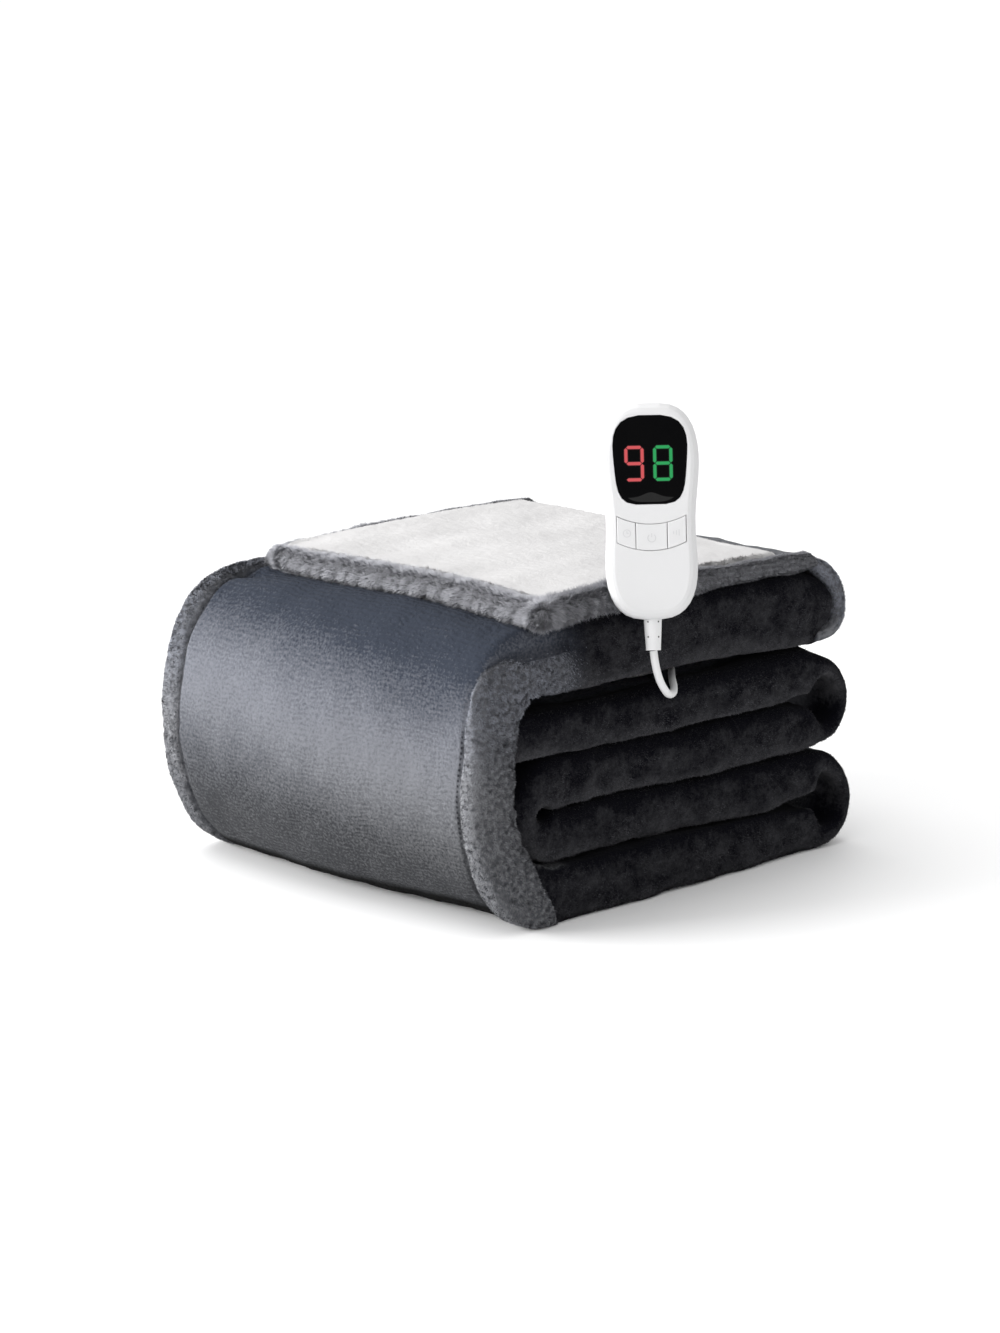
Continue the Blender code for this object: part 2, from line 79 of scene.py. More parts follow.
Level = namedtuple("Level", "x_left x_right low_left low_right top_left top_right inset")
LEVELS = {
    "flap": Level(-115, 148, 203.5, 199.5, 210.5, 205.5, 0),
    "one": Level(-117, 148, 152.5, 147.5, 202.0, 198.0, 0),
    "five": Level(-117, 153, 0.0, 0.0, 37.5, 33.0, -3),
    "four": Level(-110, 153, 38.5, 34.0, 71.5, 69.0, 5),
    "three": Level(-110, 147, 72.5, 70.0, 107.5, 105.5, 5),
    "two": Level(-148, 147, 108.5, 106.5, 139.5, 141.0, 5),
}
ORDER = tuple(LEVELS)
FLAP_END = LEVELS["flap"].x_left * MM
LEVEL_STEPS = 56
Fold = namedtuple("Fold", "reach outside inside droop sag steps")
FOLDS = (
    Fold(33, 5, 5, 4, 1.3, 26),
    Fold(68, 16.5, 16.5, 0, 1.0, 50),
    Fold(36, 16.5, 8, 0, 0.76, 24),
    Fold(37, 15, 7, 0, 1.0, 22),
    Fold(38, 17, 8, 0, 0.88, 24),
)
WRAP_TUCK = 23 * MM
WRAP_TUCK_BACK = 6 * MM
BACK_SINK_LEFT = 7 * MM
BACK_SINK_RIGHT = 2 * MM
CORNER_SINK = 5 * MM
RIPPLE = 0.9 * MM

CROWN_POINTS = 9
HEM_POINTS = 12
MIDDLE_POINTS = 54
END_POINTS = 9

Station = namedtuple(
    "Station", "x z nx nz left right edge_left edge_right front back crown seam end label"
)


def smooth(value, low, high):
    """0 below low, 1 above high, an even S between them."""
    t = np.clip((value - low) / (high - low), 0.0, 1.0)
    return t * t * (3 - 2 * t)


def rise(value, low, high):
    """The same, with its limits in millimetres."""
    return smooth(value, low * MM, high * MM)


def fall(value, low, high):
    return 1 - rise(value, low, high)


def mix(a, b, t):
    return a + (b - a) * t


def swell(u, power=CROWN_POWER):
    """Height of a rounded edge, 0 to 1, at the fraction u of its depth."""
    u = np.clip(u, 0.0, 1.0)
    return (1 - (1 - u) ** power) ** (1 / power)


def rounded_steps(count, power):
    """Fractions of a rounded edge's depth, even along its curve."""
    return [1 - math.cos(math.pi / 2 * k / count) ** (2 / power) for k in range(count)] + [1.0]


def drape(x, y, z):
    """The pile's own unevenness, the same for every piece of cloth."""
    left = fall(x, -122, -40)
    wrap = left * fall(z, 120, 204)
    sink = mix(BACK_SINK_LEFT, BACK_SINK_RIGHT, rise(x, -100, 120))
    lift = rise(z, 12, 36) * fall(z, 185, 205)
    wave = np.sin(x / (31 * MM) + z / (24 * MM)) + np.sin(y / (43 * MM) - z / (37 * MM))
    moved_x = x + wrap * WRAP_TUCK * (1 - smooth(y, FRONT, FRONT + 190 * MM))
    moved_x = moved_x + wrap * WRAP_TUCK_BACK * smooth(y, BACK - 45 * MM, BACK)
    moved_z = z + RIPPLE * lift * wave
    moved_z = moved_z - sink * smooth(y, FRONT + 30 * MM, BACK) * rise(z, 100, 190)
    near = 1 - smooth(y, FRONT, FRONT + 110 * MM)
    moved_z = moved_z - CORNER_SINK * left * near * rise(z, 120, 195)
    return np.stack([moved_x, y, moved_z], -1)


def flap_station(level, x, low, top, end):
    half = (top - low) / 2
    roll = mix(ROLL_UP_LEFT, ROLL_UP_RIGHT, rise(x, -80, 120))
    hump = 1 - smooth(x, level.x_left * MM + ROLL_WIDTH / 2, level.x_left * MM + ROLL_WIDTH)
    overhang = FLAP_OVERHANG * fall(x, -60, 130)
    heights = (mix(half, roll, hump), mix(half, ROLL_DOWN, hump), roll, ROLL_DOWN)
    corner = CORNER_CUT * fall(x, -115, -70)
    edges = (FRONT - overhang, BACK - FLAP_BACK_INSET - corner)
    return Station(x, low + half, 0.0, 1.0, *heights, *edges, ROLL_WIDTH / 2, ROLL_SEAM, end, "flap")


def first_station(level, x, low, top, end):
    from_rim = level.x_right * MM - x
    near_rim = fall(from_rim, 0, 30)
    height = mix(low + RIM / 2, (low + top) / 2, rise(from_rim, 12, 60))
    up = mix(RIM / 2, top - height, swell(from_rim / BODY_END))
    down = height - low
    hem = (mix(CROWN, ROLL_WIDTH / 2, near_rim), mix(HEM_WIDTH, ROLL_SEAM, near_rim))
    return Station(x, height, 0.0, -1.0, down, up, down, up, FRONT, BACK, *hem, end, "one")


def level_station(name, x, end=1.0):
    level = LEVELS[name]
    t = (x / MM - level.x_left) / (level.x_right - level.x_left)
    low = mix(level.low_left, level.low_right, t) * MM
    top = mix(level.top_left, level.top_right, t) * MM
    if name == "flap":
        return flap_station(level, x, low, top, end)
    if name == "one":
        return first_station(level, x, low, top, end)
    inset = level.inset * MM * fall(x, -20, 120)
    half = (top - low) / 2
    side = 1.0 if ORDER.index(name) % 2 == 0 else -1.0
    pocket = LEAD_POCKET * (rise(x, -90, -40) - rise(x, 70, 110))
    pocket = pocket if name == "two" else 0.0
    heights = (half, half - pocket, half, half)
    edges = (FRONT + inset, BACK - inset / 2)
    crown = CROWN / 2 if name == "five" else CROWN
    return Station(x, low + half, 0.0, side, *heights, *edges, crown, HEM_WIDTH, end, name)


def level_stations(name):
    """The stations of one level in the band's direction, without those of its folds."""
    level = LEVELS[name]
    left, right = level.x_left * MM, level.x_right * MM
    start, finish = [(left, 1.0)], [(right, 1.0)]
    if name in ("flap", "two"):
        depth = ROLL_WIDTH / 2 if name == "flap" else CROWN
        power = 2.0 if name == "flap" else CROWN_POWER
        steps = rounded_steps(END_POINTS, power)
        start = [(left + depth * u, float(swell(u, power))) for u in steps]
    if name == "one":
        finish = [(right - BODY_END * u, 1.0) for u in reversed(rounded_steps(END_POINTS, 2.5))]
    low, high = start[-1][0], finish[0][0]
    count = round(LEVEL_STEPS * (high - low) / (right - left))
    marks = [(mix(low, high, k / count), 1.0) for k in range(1, count)]
    stations = [level_station(name, x, end) for x, end in start + marks + finish]
    return stations if stations[0].nz > 0 else stations[::-1]


def fold_stations(before, after, fold):
    """A half oval from the last station of one level to the first of the next."""
    outward = before.nz
    inside_left = (outward > 0) != (after.z < before.z)
    half = (before.z - after.z) / 2
    reach = (fold.reach - fold.outside) * MM
    stations = []

    def spot(t):
        push = outward * reach * math.sin(math.pi * t**fold.sag)
        droop = fold.droop * MM * math.sin(math.pi * t) * smooth(t, 0.3, 0.9)
        height = after.z + half + half * math.cos(math.pi * t) - droop
        return Vector((mix(before.x, after.x, t) + push, height))

    for k in range(1, fold.steps):
        t = k / fold.steps
        bulge = math.sin(math.pi * t)
        x, z = spot(t)
        along = (spot(t + 0.01) - spot(t - 0.01)).normalized()
        halves = []
        for at_start, at_end, inner in (
            (before.left, after.left, inside_left),
            (before.right, after.right, not inside_left),
        ):
            apex = (fold.inside if inner else fold.outside) * MM
            weight = bulge if inner else bulge * bulge
            halves.append(mix(mix(at_start, at_end, smooth(t, 0.35, 0.65)), apex, weight))
        shared = [mix(a, b, t) for a, b in zip(before[8:12], after[8:12])]
        label = f"fold{FOLDS.index(fold)}"
        stations.append(Station(x, z, -along[1], along[0], *halves, *halves, *shared, 1.0, label))
    return stations


def band_stations():
    stations = level_stations(ORDER[0])
    for name, fold in zip(ORDER[1:], FOLDS):
        level = level_stations(name)
        stations += fold_stations(stations[-1], level[0], fold) + level
    return stations


# --------------------------------------------------------------- small helpers
def waves(along, seed, longest, shortest, count=7):
    """A smooth uneven line between about -1 and 1, the same on every run."""
    draw = np.random.default_rng(seed)
    lengths = np.geomspace(longest, shortest, count)
    total = np.zeros_like(along)
    for length in lengths:
        total = total + np.sin(2 * math.pi * (along / length + draw.random()))
    return total / math.sqrt(count)


def clouds(points, size, seed):
    """Smooth noise at each point, between about -1 and 1."""
    shift = Vector((seed * 7.31, seed * 3.17, seed * 5.53))
    flat = points.reshape(-1, 3) / size
    found = [noise.noise(Vector(p) + shift) for p in flat]
    return 2 * np.array(found).reshape(points.shape[:-1])


def unit(vectors):
    return vectors / np.maximum(np.linalg.norm(vectors, axis=-1, keepdims=True), 1e-12)


def grid_normals(points):
    along = np.gradient(points, axis=0)
    across = np.gradient(points, axis=1)
    return unit(np.cross(across, along))


def add_object(name, data):
    thing = bpy.data.objects.new(name, data)
    bpy.context.scene.collection.objects.link(thing)
    return thing


def add_layer(data, name, values):
    attribute = data.attributes.new(name, "FLOAT", "POINT")
    attribute.data.foreach_set("value", values.astype(np.float32).ravel())


def add_mesh(name, verts, faces, material, smooth_faces=True):
    data = bpy.data.meshes.new(name)
    data.from_pydata(verts, [], faces)
    data.polygons.foreach_set("use_smooth", [smooth_faces] * len(data.polygons))
    data.materials.append(material)
    return add_object(name, data)


def add_grid(name, points, material, layers):
    """A sheet over a grid of points, with named numbers at each of them."""
    rows, columns = points.shape[:2]
    index = np.arange(rows * columns).reshape(rows, columns)
    corners = (index[:-1, :-1], index[:-1, 1:], index[1:, 1:], index[1:, :-1])
    faces = np.stack([c.ravel() for c in corners], -1)
    thing = add_mesh(name, points.reshape(-1, 3).tolist(), faces.tolist(), material)
    for layer, values in layers.items():
        add_layer(thing.data, layer, np.broadcast_to(values, (rows, columns)))
    return thing


# ------------------------------------------------------------------ materials
class Shader:
    """A Principled material whose nodes are added by short calls."""

    def __init__(self, name, **sockets):
        self.material = bpy.data.materials.new(name)
        self.material.use_nodes = True
        self.tree = self.material.node_tree
        self.main = self.tree.nodes["Principled BSDF"]
        for socket, value in sockets.items():
            self.main.inputs[socket.replace("_", " ")].default_value = value

    def node(self, kind, settings=(), **inputs):
        made = self.tree.nodes.new(kind)
        for key, value in dict(settings).items():
            setattr(made, key, value)
        for key, value in inputs.items():
            self.feed(made, key.replace("_", " "), value)
        return made

    def feed(self, node, key, value):
        socket = node.inputs[key]
        if isinstance(value, bpy.types.NodeSocket):
            self.tree.links.new(value, socket)
        else:
            socket.default_value = value

    def link(self, key, socket):
        self.tree.links.new(socket, self.main.inputs[key])

    def place(self):
        return self.node("ShaderNodeTexCoord").outputs["Object"]

    def layer(self, name):
        return self.node("ShaderNodeAttribute", {"attribute_name": name}).outputs["Fac"]

    def noise(self, scale, detail=3.0, rough=0.55, vector=None):
        vector = vector or self.place()
        made = self.node("ShaderNodeTexNoise", Vector=vector, Scale=scale, Detail=detail, Roughness=rough)
        return made.outputs["Fac"]

    def math(self, operation, a, b=0.0, c=0.0):
        made = self.node("ShaderNodeMath", {"operation": operation})
        for k, value in enumerate((a, b, c)):
            self.feed(made, k, value)
        return made.outputs[0]

    def between(self, factor, low, high):
        return self.node("ShaderNodeMapRange", Value=factor, To_Min=low, To_Max=high).outputs[0]

    def step(self, value, low, high):
        """0 at low, 1 at high, with an even S between them."""
        kind = {"interpolation_type": "SMOOTHSTEP"}
        return self.node("ShaderNodeMapRange", kind, Value=value, From_Min=low, From_Max=high).outputs[0]

    def blend(self, factor, one, two, kind="MIX"):
        made = self.node("ShaderNodeMix", {"data_type": "RGBA", "blend_type": kind})
        for key, value in (("Factor", factor), ("A", one), ("B", two)):
            sockets = [s for s in made.inputs if s.name == key and s.enabled]
            if isinstance(value, bpy.types.NodeSocket):
                self.tree.links.new(value, sockets[0])
            else:
                full = isinstance(value, tuple) and len(value) == 3
                sockets[0].default_value = (*value, 1.0) if full else value
        return [s for s in made.outputs if s.enabled][0]

    def bump(self, height, strength, distance, before=None):
        made = self.node("ShaderNodeBump", Height=height, Strength=strength, Distance=distance)
        if before:
            self.tree.links.new(before, made.inputs["Normal"])
        return made.outputs["Normal"]


SLATE_LIGHT = (0.138, 0.143, 0.162)
SLATE_DARK = (0.029, 0.034, 0.046)
ASH_LIGHT = (0.138, 0.140, 0.146)
ASH_DARK = (0.034, 0.035, 0.038)
HEM_LIGHT = (0.150, 0.153, 0.163)
HEM_DARK = (0.045, 0.047, 0.054)
# Painted shade: the fold ends, the same cloth as the slate faces, are painted near black; the darker colour
# also paints the shade in the seam's groove and the dark stitches.
SHADED_END_LIGHT = (0.050, 0.050, 0.054)
SHADE_AND_STITCH_DARK = (0.004, 0.004, 0.006)
RIB_LENGTH = 2.8 * MM
STITCH_LENGTH = 3.2 * MM


def plush_material():
    """Short grey pile: slate on its broad faces; the ends of its folds, the same cloth, are painted
    near-black charcoal as painted shade.
    """
    s = Shader("grey_plush", Roughness=0.95, Sheen_Weight=0.02, Sheen_Roughness=0.5)
    s.main.inputs["Specular IOR Level"].default_value = 0.0
    place = s.place()
    patches = s.noise(26.0, 4.0, 0.6, place)
    tufts = s.noise(230.0, 3.0, 0.6, place)
    grain = s.noise(560.0, 2.0, 0.7, place)
    brushed = s.noise(66.0, 4.0, 0.65, place)
    wander = s.math("MULTIPLY", s.noise(60.0, 2.0, 0.5, place), 2.5)
    ribs = s.math("SINE", s.math("MULTIPLY", s.math("ADD", s.layer("rib"), wander), 2 * math.pi))
    ribs = s.math("MULTIPLY", ribs, s.layer("ribbed"))
    # The slate's tone: random patches and grain, a little tone along the ribs, and the 'nap' layer, which is
    # painted sheen across the side faces and painted shade below the flap.
    nap = s.math("MULTIPLY_ADD", patches, 0.5, s.math("MULTIPLY_ADD", s.layer("nap"), 0.85, -0.2))
    nap = s.math("MULTIPLY_ADD", ribs, 0.06, nap)
    slate_dark = s.blend(s.layer("cool"), ASH_DARK, SLATE_DARK)
    slate_light = s.blend(s.layer("cool"), ASH_LIGHT, SLATE_LIGHT)
    slate = s.blend(s.math("MULTIPLY_ADD", grain, 1.5, s.math("ADD", nap, -0.75)), slate_dark, slate_light)
    lit = s.math("MULTIPLY_ADD", s.layer("lit"), 0.5, s.math("MULTIPLY_ADD", ribs, 0.15, -0.8))
    hem = s.blend(s.math("MULTIPLY_ADD", tufts, 2.4, lit), HEM_DARK, HEM_LIGHT)
    # Painted shade on the fold ends: near-black charcoal, darker where they face up and lighter where they
    # face down ('lower'), with random brushed patches and grain.
    low = s.math("MULTIPLY_ADD", s.layer("lower"), 1.4, -0.45)
    tone = s.math("MULTIPLY_ADD", s.math("ADD", brushed, -0.5), 1.6, low)
    tone = s.math("MULTIPLY_ADD", s.math("ADD", tufts, s.math("ADD", grain, -1.0)), 0.7, tone)
    shaded_ends = s.blend(tone, SHADE_AND_STITCH_DARK, SHADED_END_LIGHT)
    colour = s.blend(s.layer("hem"), slate, hem)
    colour = s.blend(s.layer("roll"), colour, hem)
    colour = s.blend(s.layer("dark"), colour, shaded_ends)
    # Along the seam: painted shade darkens its groove (crease), beside two rows of dark stitches.
    away = s.math("ABSOLUTE", s.layer("seam"))
    crease = s.math("MULTIPLY", s.step(away, 1.8, 0.0), 0.45)
    row = s.step(s.math("ABSOLUTE", s.math("SUBTRACT", away, 2.6)), 0.7, 0.3)
    row = s.math("MULTIPLY", row, s.layer("sewn"))
    stitch = s.math("SINE", s.math("MULTIPLY", s.layer("along"), 2 * math.pi / STITCH_LENGTH))
    stitch = s.math("MULTIPLY", row, s.math("MULTIPLY", s.step(stitch, -0.1, 0.5), 0.7))
    colour = s.blend(s.math("MAXIMUM", crease, stitch), colour, SHADE_AND_STITCH_DARK)
    # Painted contact shadow: near black on the cloth's downward-facing bottom near the floor.
    colour = s.blend(s.layer("under"), colour, (0.001, 0.001, 0.001))
    s.link("Base Color", colour)
    fine = s.bump(ribs, 0.25, 0.0006)
    fine = s.bump(grain, 0.6, 0.0012, fine)
    s.link("Normal", s.bump(tufts, 0.45, 0.003, fine))
    return s.material


def pile_material():
    s = Shader("white_pile", Roughness=0.95)
    s.main.inputs["Specular IOR Level"].default_value = 0.05
    place = s.place()
    tone = s.noise(150.0, 3.0, 0.6, place)
    s.link("Base Color", s.blend(tone, (0.53, 0.523, 0.523), (0.585, 0.578, 0.578)))
    s.link("Normal", s.bump(s.noise(480.0, 3.0, 0.65, place), 0.3, 0.0015))
    return s.material


def fibre_material(name, root, tip, cool=(1.0, 1.0, 1.0)):
    """Fibres that are darker at the root, cooler higher up, each with its own tone."""
    s = Shader(name, Roughness=0.85, Sheen_Weight=0.05, Sheen_Roughness=0.4)
    s.main.inputs["Specular IOR Level"].default_value = 0.05
    height = s.node("ShaderNodeSeparateXYZ", Vector=s.place()).outputs["Z"]
    cooler = tuple(c * k for c, k in zip(tip, cool))
    tip = s.blend(s.step(height, 90 * MM, 160 * MM), tip, cooler)
    s.link("Base Color", s.blend(s.layer("tone"), root, tip))
    return s.material


def plastic_material(name, colour, roughness):
    s = Shader(name, Roughness=roughness)
    s.main.inputs["Specular IOR Level"].default_value = 0.35
    grain = s.noise(2600.0, 2.0, 0.5)
    shade = tuple(c * 0.97 for c in colour)
    s.link("Base Color", s.blend(s.noise(30.0), shade, colour))
    s.link("Roughness", s.between(grain, roughness * 0.85, roughness * 1.15))
    s.link("Normal", s.bump(grain, 0.025, 0.0002))
    return s.material


def window_material():
    s = Shader("black_window", Roughness=0.08)
    s.main.inputs["Specular IOR Level"].default_value = 0.025
    smear = s.noise(60.0, 4.0, 0.6)
    s.link("Base Color", s.blend(smear, (0.0015, 0.0015, 0.002), (0.003, 0.003, 0.003)))
    s.link("Roughness", s.between(smear, 0.05, 0.12))
    return s.material


def glow_material(name, colour, strength):
    s = Shader(name, Roughness=0.4)
    s.link("Base Color", s.blend(s.noise(200.0), (0.008, 0.008, 0.008), (0.012, 0.012, 0.012)))
    s.main.inputs["Specular IOR Level"].default_value = 0.05
    s.main.inputs["Emission Color"].default_value = (*colour, 1)
    s.main.inputs["Emission Strength"].default_value = strength
    return s.material


def floor_material():
    s = Shader("pale_floor", Roughness=0.6)
    s.link("Base Color", s.blend(s.noise(3.0), (0.965, 0.965, 0.97), (0.98, 0.98, 0.98)))
    return s.material


# ------------------------------------------------------------------ the cloth
HEM_PUFF = 2.0 * MM
SEAM_DEPTH = 2.6 * MM
SEAM_HALF = 1.8 * MM
SEAM_BACK = 24 * MM
# The front seam's distance from the edge, at heights of the band's middle line: it comes
# forward where the wrap turns over the top.
SEAM_HEIGHTS = [h * MM for h in (19, 46, 71, 92, 113, 136, 156, 167, 177)]
SEAM_FRONT = [d * MM for d in (27, 22, 19, 19, 17, 14, 9, 4, 0.3)]
# Where the wrap's lip ends on the front face of level five, at heights over the floor.
LIP_HEIGHTS = [h * MM for h in (0, 16, 33, 54, 76)]
LIP_ACROSS = [x * MM for x in (-93, -100, -110, -119, -125)]
LIP_STEP = 3.0 * MM
LIP_WAVE = 1.2 * MM
EDGE_WAVE = 0.8 * MM
RUCHE = 1.8 * MM
RUCHE_STEP = 13 * MM
RIM_RIB = 3.6 * MM
BACK_RIM_LEFT = 4.5 * MM  # how high the rolled hem stands at the back of the flap
BACK_RIM_RIGHT = 7.0 * MM
WEDGE = 4.5 * MM  # how much each facing side draws back at the inside of a right fold
HOLLOW = 11 * MM  # how much further out the inside of a right fold lies at its front and back
CLOSE_UP = 3.0 * MM  # how much the gap over level two closes towards the right
BODY_REACH = 23 * MM  # level one's rounded end, inside the rim that comes round it
BODY_LOW = 156 * MM
BODY_HIGH = 201 * MM

# Creases, listed one by one: both ends of each, how wide it is and how deep.
CREASES = (
    ((-121, -150, 100), (-123, -150, 58), 3.0, 2.6),
    ((-127, -150, 88), (-128, -149, 66), 2.2, 1.8),
    ((-116, -150, 92), (-112, -151, 84), 2.5, 2.0),
    ((-108, -151, 26), (-104, -151, 8), 2.6, 2.0),
    ((-126, -150, 189), (-66, -152, 184), 2.6, 1.3),
    ((-116, 100, 197), (-132, 150, 184), 8.0, 6.0),
    ((128, -151, 123), (146, -151, 112), 3.0, 2.4),
    ((120, -151, 90), (148, -151, 98), 3.2, 2.4),
    ((126, -151, 52), (147, -151, 42), 3.0, 2.4),
    ((122, -151, 20), (150, -151, 28), 3.2, 2.2),
    ((40, -151, 62), (120, -151, 58), 6.0, 1.4),
    ((-60, -151, 88), (30, -151, 86), 7.0, 1.3),
    ((-40, -151, 126), (60, -151, 122), 7.0, 1.5),
    ((10, -151, 176), (110, -151, 172), 9.0, 1.6),
    ((96, -151, 186), (128, -151, 160), 6.0, 1.6),
    ((-80, -151, 17), (60, -151, 15), 7.0, 1.4),
    ((-140, -40, 190), (-150, -110, 170), 12.0, 1.5),
    ((-176, -20, 120), (-172, 90, 128), 16.0, 1.4),
    ((-180, -90, 60), (-172, 60, 52), 15.0, 1.3),
)

SHEEN_BAND_FRONT = 104 * MM  # height of the painted sheen band, lighter where the key light falls on the left face, at its front and back
SHEEN_BAND_BACK = 132 * MM
SHEEN_BAND_WIDTH = 46 * MM


def lobes(along):
    """The gathered hem: 1 on each puff, 0 in each tuck between two."""
    phase = math.pi * along / RUCHE_STEP + 1.1 * waves(along, 5, 90 * MM, 40 * MM, 3)
    return np.abs(np.sin(phase)) ** 0.6


def left_of_lip(x, z):
    """1 where the front of the wrap is its own hem, 0 beyond its lip on level five."""
    beside = x - np.interp(z, LIP_HEIGHTS, LIP_ACROSS)
    return np.maximum(fall(beside, -1.5, 1.5), rise(z, 56, 70))


def both_sides(left, right):
    """One side's columns from the back to the front, then the other side's to the back."""
    return np.concatenate([left[:, ::-1], right[:, 1:]], 1)


class Band:
    """The blanket as one sheet: rows along the band, columns from its back edge round the front
    edge to the back edge again, first on its inner side and then on its outer one."""

    def __init__(self):
        stations = band_stations()
        self.label = np.array([s.label for s in stations])
        fields = [f for f in Station._fields if f != "label"]
        self.s = {f: np.array([getattr(s, f) for s in stations], float)[:, None] for f in fields}
        steps = np.hypot(np.diff(self.s["x"][:, 0]), np.diff(self.s["z"][:, 0]))
        self.along = np.concatenate([[0.0], np.cumsum(steps)])[:, None]
        self.own = {name: (self.label == name)[:, None].astype(float) for name in set(self.label)}
        x = self.s["x"]
        self.wrap = self.own["fold1"] + self.own["one"] * fall(x, -105, -62)
        self.wrap = self.wrap + self.own["five"] * fall(x, -117, -95)
        self.flap = self.own["flap"] + self.own["fold0"]
        self.inner = 1 - np.clip(self.wrap + self.flap, 0, 1)
        self.distances()
        self.place()
        self.add_creases()
        self.points[..., 2] = np.maximum(self.points[..., 2], 0.0)
        self.normals = grid_normals(self.points)
        steps = np.linalg.norm(np.diff(self.points, axis=1), axis=-1)
        self.girth = np.concatenate([np.zeros((len(steps), 1)), np.cumsum(steps, axis=1)], 1)
        self.numbers = self.layers()

    def distances(self):
        """How far each column lies from the front edge, from the nearer edge and from the seam."""
        crown, seam = self.s["crown"], self.s["seam"]
        depth = self.s["back"] - self.s["front"]
        round_part = np.array(rounded_steps(CROWN_POINTS, CROWN_POWER))[None, :] * crown
        hem = np.linspace(0, 1, HEM_POINTS + 1)[None, 1:]
        hem = crown + (seam + GROOVE_HALF - crown) * hem
        edge = np.concatenate([round_part, hem], 1)
        t = np.linspace(0, 1, MIDDLE_POINTS + 2)[None, 1:-1]
        middle = edge[:, -1:] + (depth - 2 * edge[:, -1:]) * t
        self.v = np.concatenate([edge, middle, depth - edge[:, ::-1]], 1)
        self.near = np.minimum(self.v, depth - self.v)
        front = np.interp(self.s["z"], SEAM_HEIGHTS, SEAM_FRONT)
        stitch = mix(front, SEAM_BACK, rise(self.v, 100, 200))
        self.stitch = mix(stitch, seam, self.flap)

    def heights(self):
        """Both sides' distances from the band's middle line."""
        s, near, own, x = self.s, self.near, self.own, self.s["x"]
        right_end = rise(x, 108, 147) ** 1.5
        facing = (own["two"] + own["three"] + own["four"] + own["five"]) * right_end
        turn = own["fold2"] + own["fold4"]
        hollow = rise(x, 147, 160) * turn * fall(near, 16, 38)
        close = CLOSE_UP * rise(x, 55, 140)
        hem = np.sin(math.pi * np.clip(near / self.stitch, 0, 1)) ** 0.6
        seam = np.exp(-(((near - self.stitch) / SEAM_HALF) ** 2))
        seam = seam * rise(self.stitch, 4, 12)
        lip = np.exp(-(((near - 5 * MM) / (6 * MM)) ** 2))
        lip_wave = waves(self.along, 3, 31 * MM, 8 * MM, 9)
        roll = self.flap * rise(s["seam"] + 2 * MM - near, 0, 6)
        roll_end = own["flap"] * (1 - smooth(x, FLAP_END + ROLL_WIDTH - 4 * MM, FLAP_END + ROLL_WIDTH))
        gather = fall(x, 30, 70)
        ruche = RUCHE * gather * np.maximum(roll, roll_end) * (1.6 * lobes(x + self.v) - 1)
        left = -WEDGE * (facing + turn) - HOLLOW * hollow + self.wrap * LIP_WAVE * lip * lip_wave + ruche
        left = left + own["one"] * close * 0.6
        right = own["two"] * close + self.wrap * (HEM_PUFF * hem - SEAM_DEPTH * seam) + 0.5 * ruche
        at_back = own["flap"] * smooth(self.v, 0.2, 0.27)
        rim = mix(BACK_RIM_LEFT, BACK_RIM_RIGHT, rise(x, -70, 20))
        shaped = []
        for full, edge, more in (
            (s["left"], mix(s["edge_left"], rim, at_back), left),
            (s["right"], s["edge_right"], right),
        ):
            h = mix(np.maximum(edge, full), full, smooth(near, s["crown"], s["seam"] + GROOVE_HALF))
            shaped.append(h + more)
        left, right = shaped
        middle = self.inner * (right - left) / 2
        rounded = swell(near / s["crown"])
        left = (left + middle) * rounded - middle
        right = (right - middle) * rounded + middle
        return left * s["end"], right * s["end"]

    def place(self):
        s, v = self.s, self.v
        left, right = self.heights()
        depth = s["back"] - s["front"]
        wave = EDGE_WAVE * (self.inner + 0.5 * self.wrap) * waves(self.along, 11, 150 * MM, 45 * MM)
        y = s["front"] + v + wave * fall(v, 0, 40)
        y = y + wave[::-1] * smooth(v, depth - 40 * MM, depth)
        body_end = self.own["one"] * rise(s["x"], 112, 146) * (s["x"] < 147.9 * MM)
        sides = []
        for out in (left, -right):
            x, z = s["x"] + s["nx"] * out, s["z"] + s["nz"] * out
            height = np.clip((z - BODY_LOW) / (BODY_HIGH - BODY_LOW), 0, 1)
            sides.append(drape(x + BODY_REACH * body_end * np.sin(math.pi * height) ** 0.6, y, z))
        left, right = sides
        self.points = both_sides(left, right)
        self.side = np.concatenate([-np.ones(v.shape[1]), np.ones(v.shape[1] - 1)])[None, :]
        self.near, self.stitch, self.v = (both_sides(a, a) for a in (self.near, self.stitch, v))
        x, y, z = np.moveaxis(self.points, -1, 0)
        below = (self.own["fold1"] + self.own["five"]) * (y < 0) * fall(x, -70, -10)
        self.points[..., 1] = y + LIP_STEP * below * (1 - left_of_lip(x, z))

    def add_creases(self):
        normals = grid_normals(self.points)
        loose = rise(self.near, 0.5, 4) * 0.5 + 0.5
        uneven = 0.7 * MM * clouds(self.points, 22 * MM, 1) + 0.35 * MM * clouds(self.points, 9 * MM, 2)
        shift = uneven * loose
        for start, end, width, depth in CREASES:
            start, end = np.array(start) * MM, np.array(end) * MM
            line = end - start
            t = np.clip(((self.points - start) @ line) / (line @ line), 0, 1)
            away = np.linalg.norm(self.points - start - t[..., None] * line, axis=-1)
            taper = 1 - 0.7 * np.abs(2 * t - 1) ** 3
            shift = shift - depth * MM * taper * np.exp(-((away / (width * MM)) ** 2))
        self.points = self.points + normals * shift[..., None]

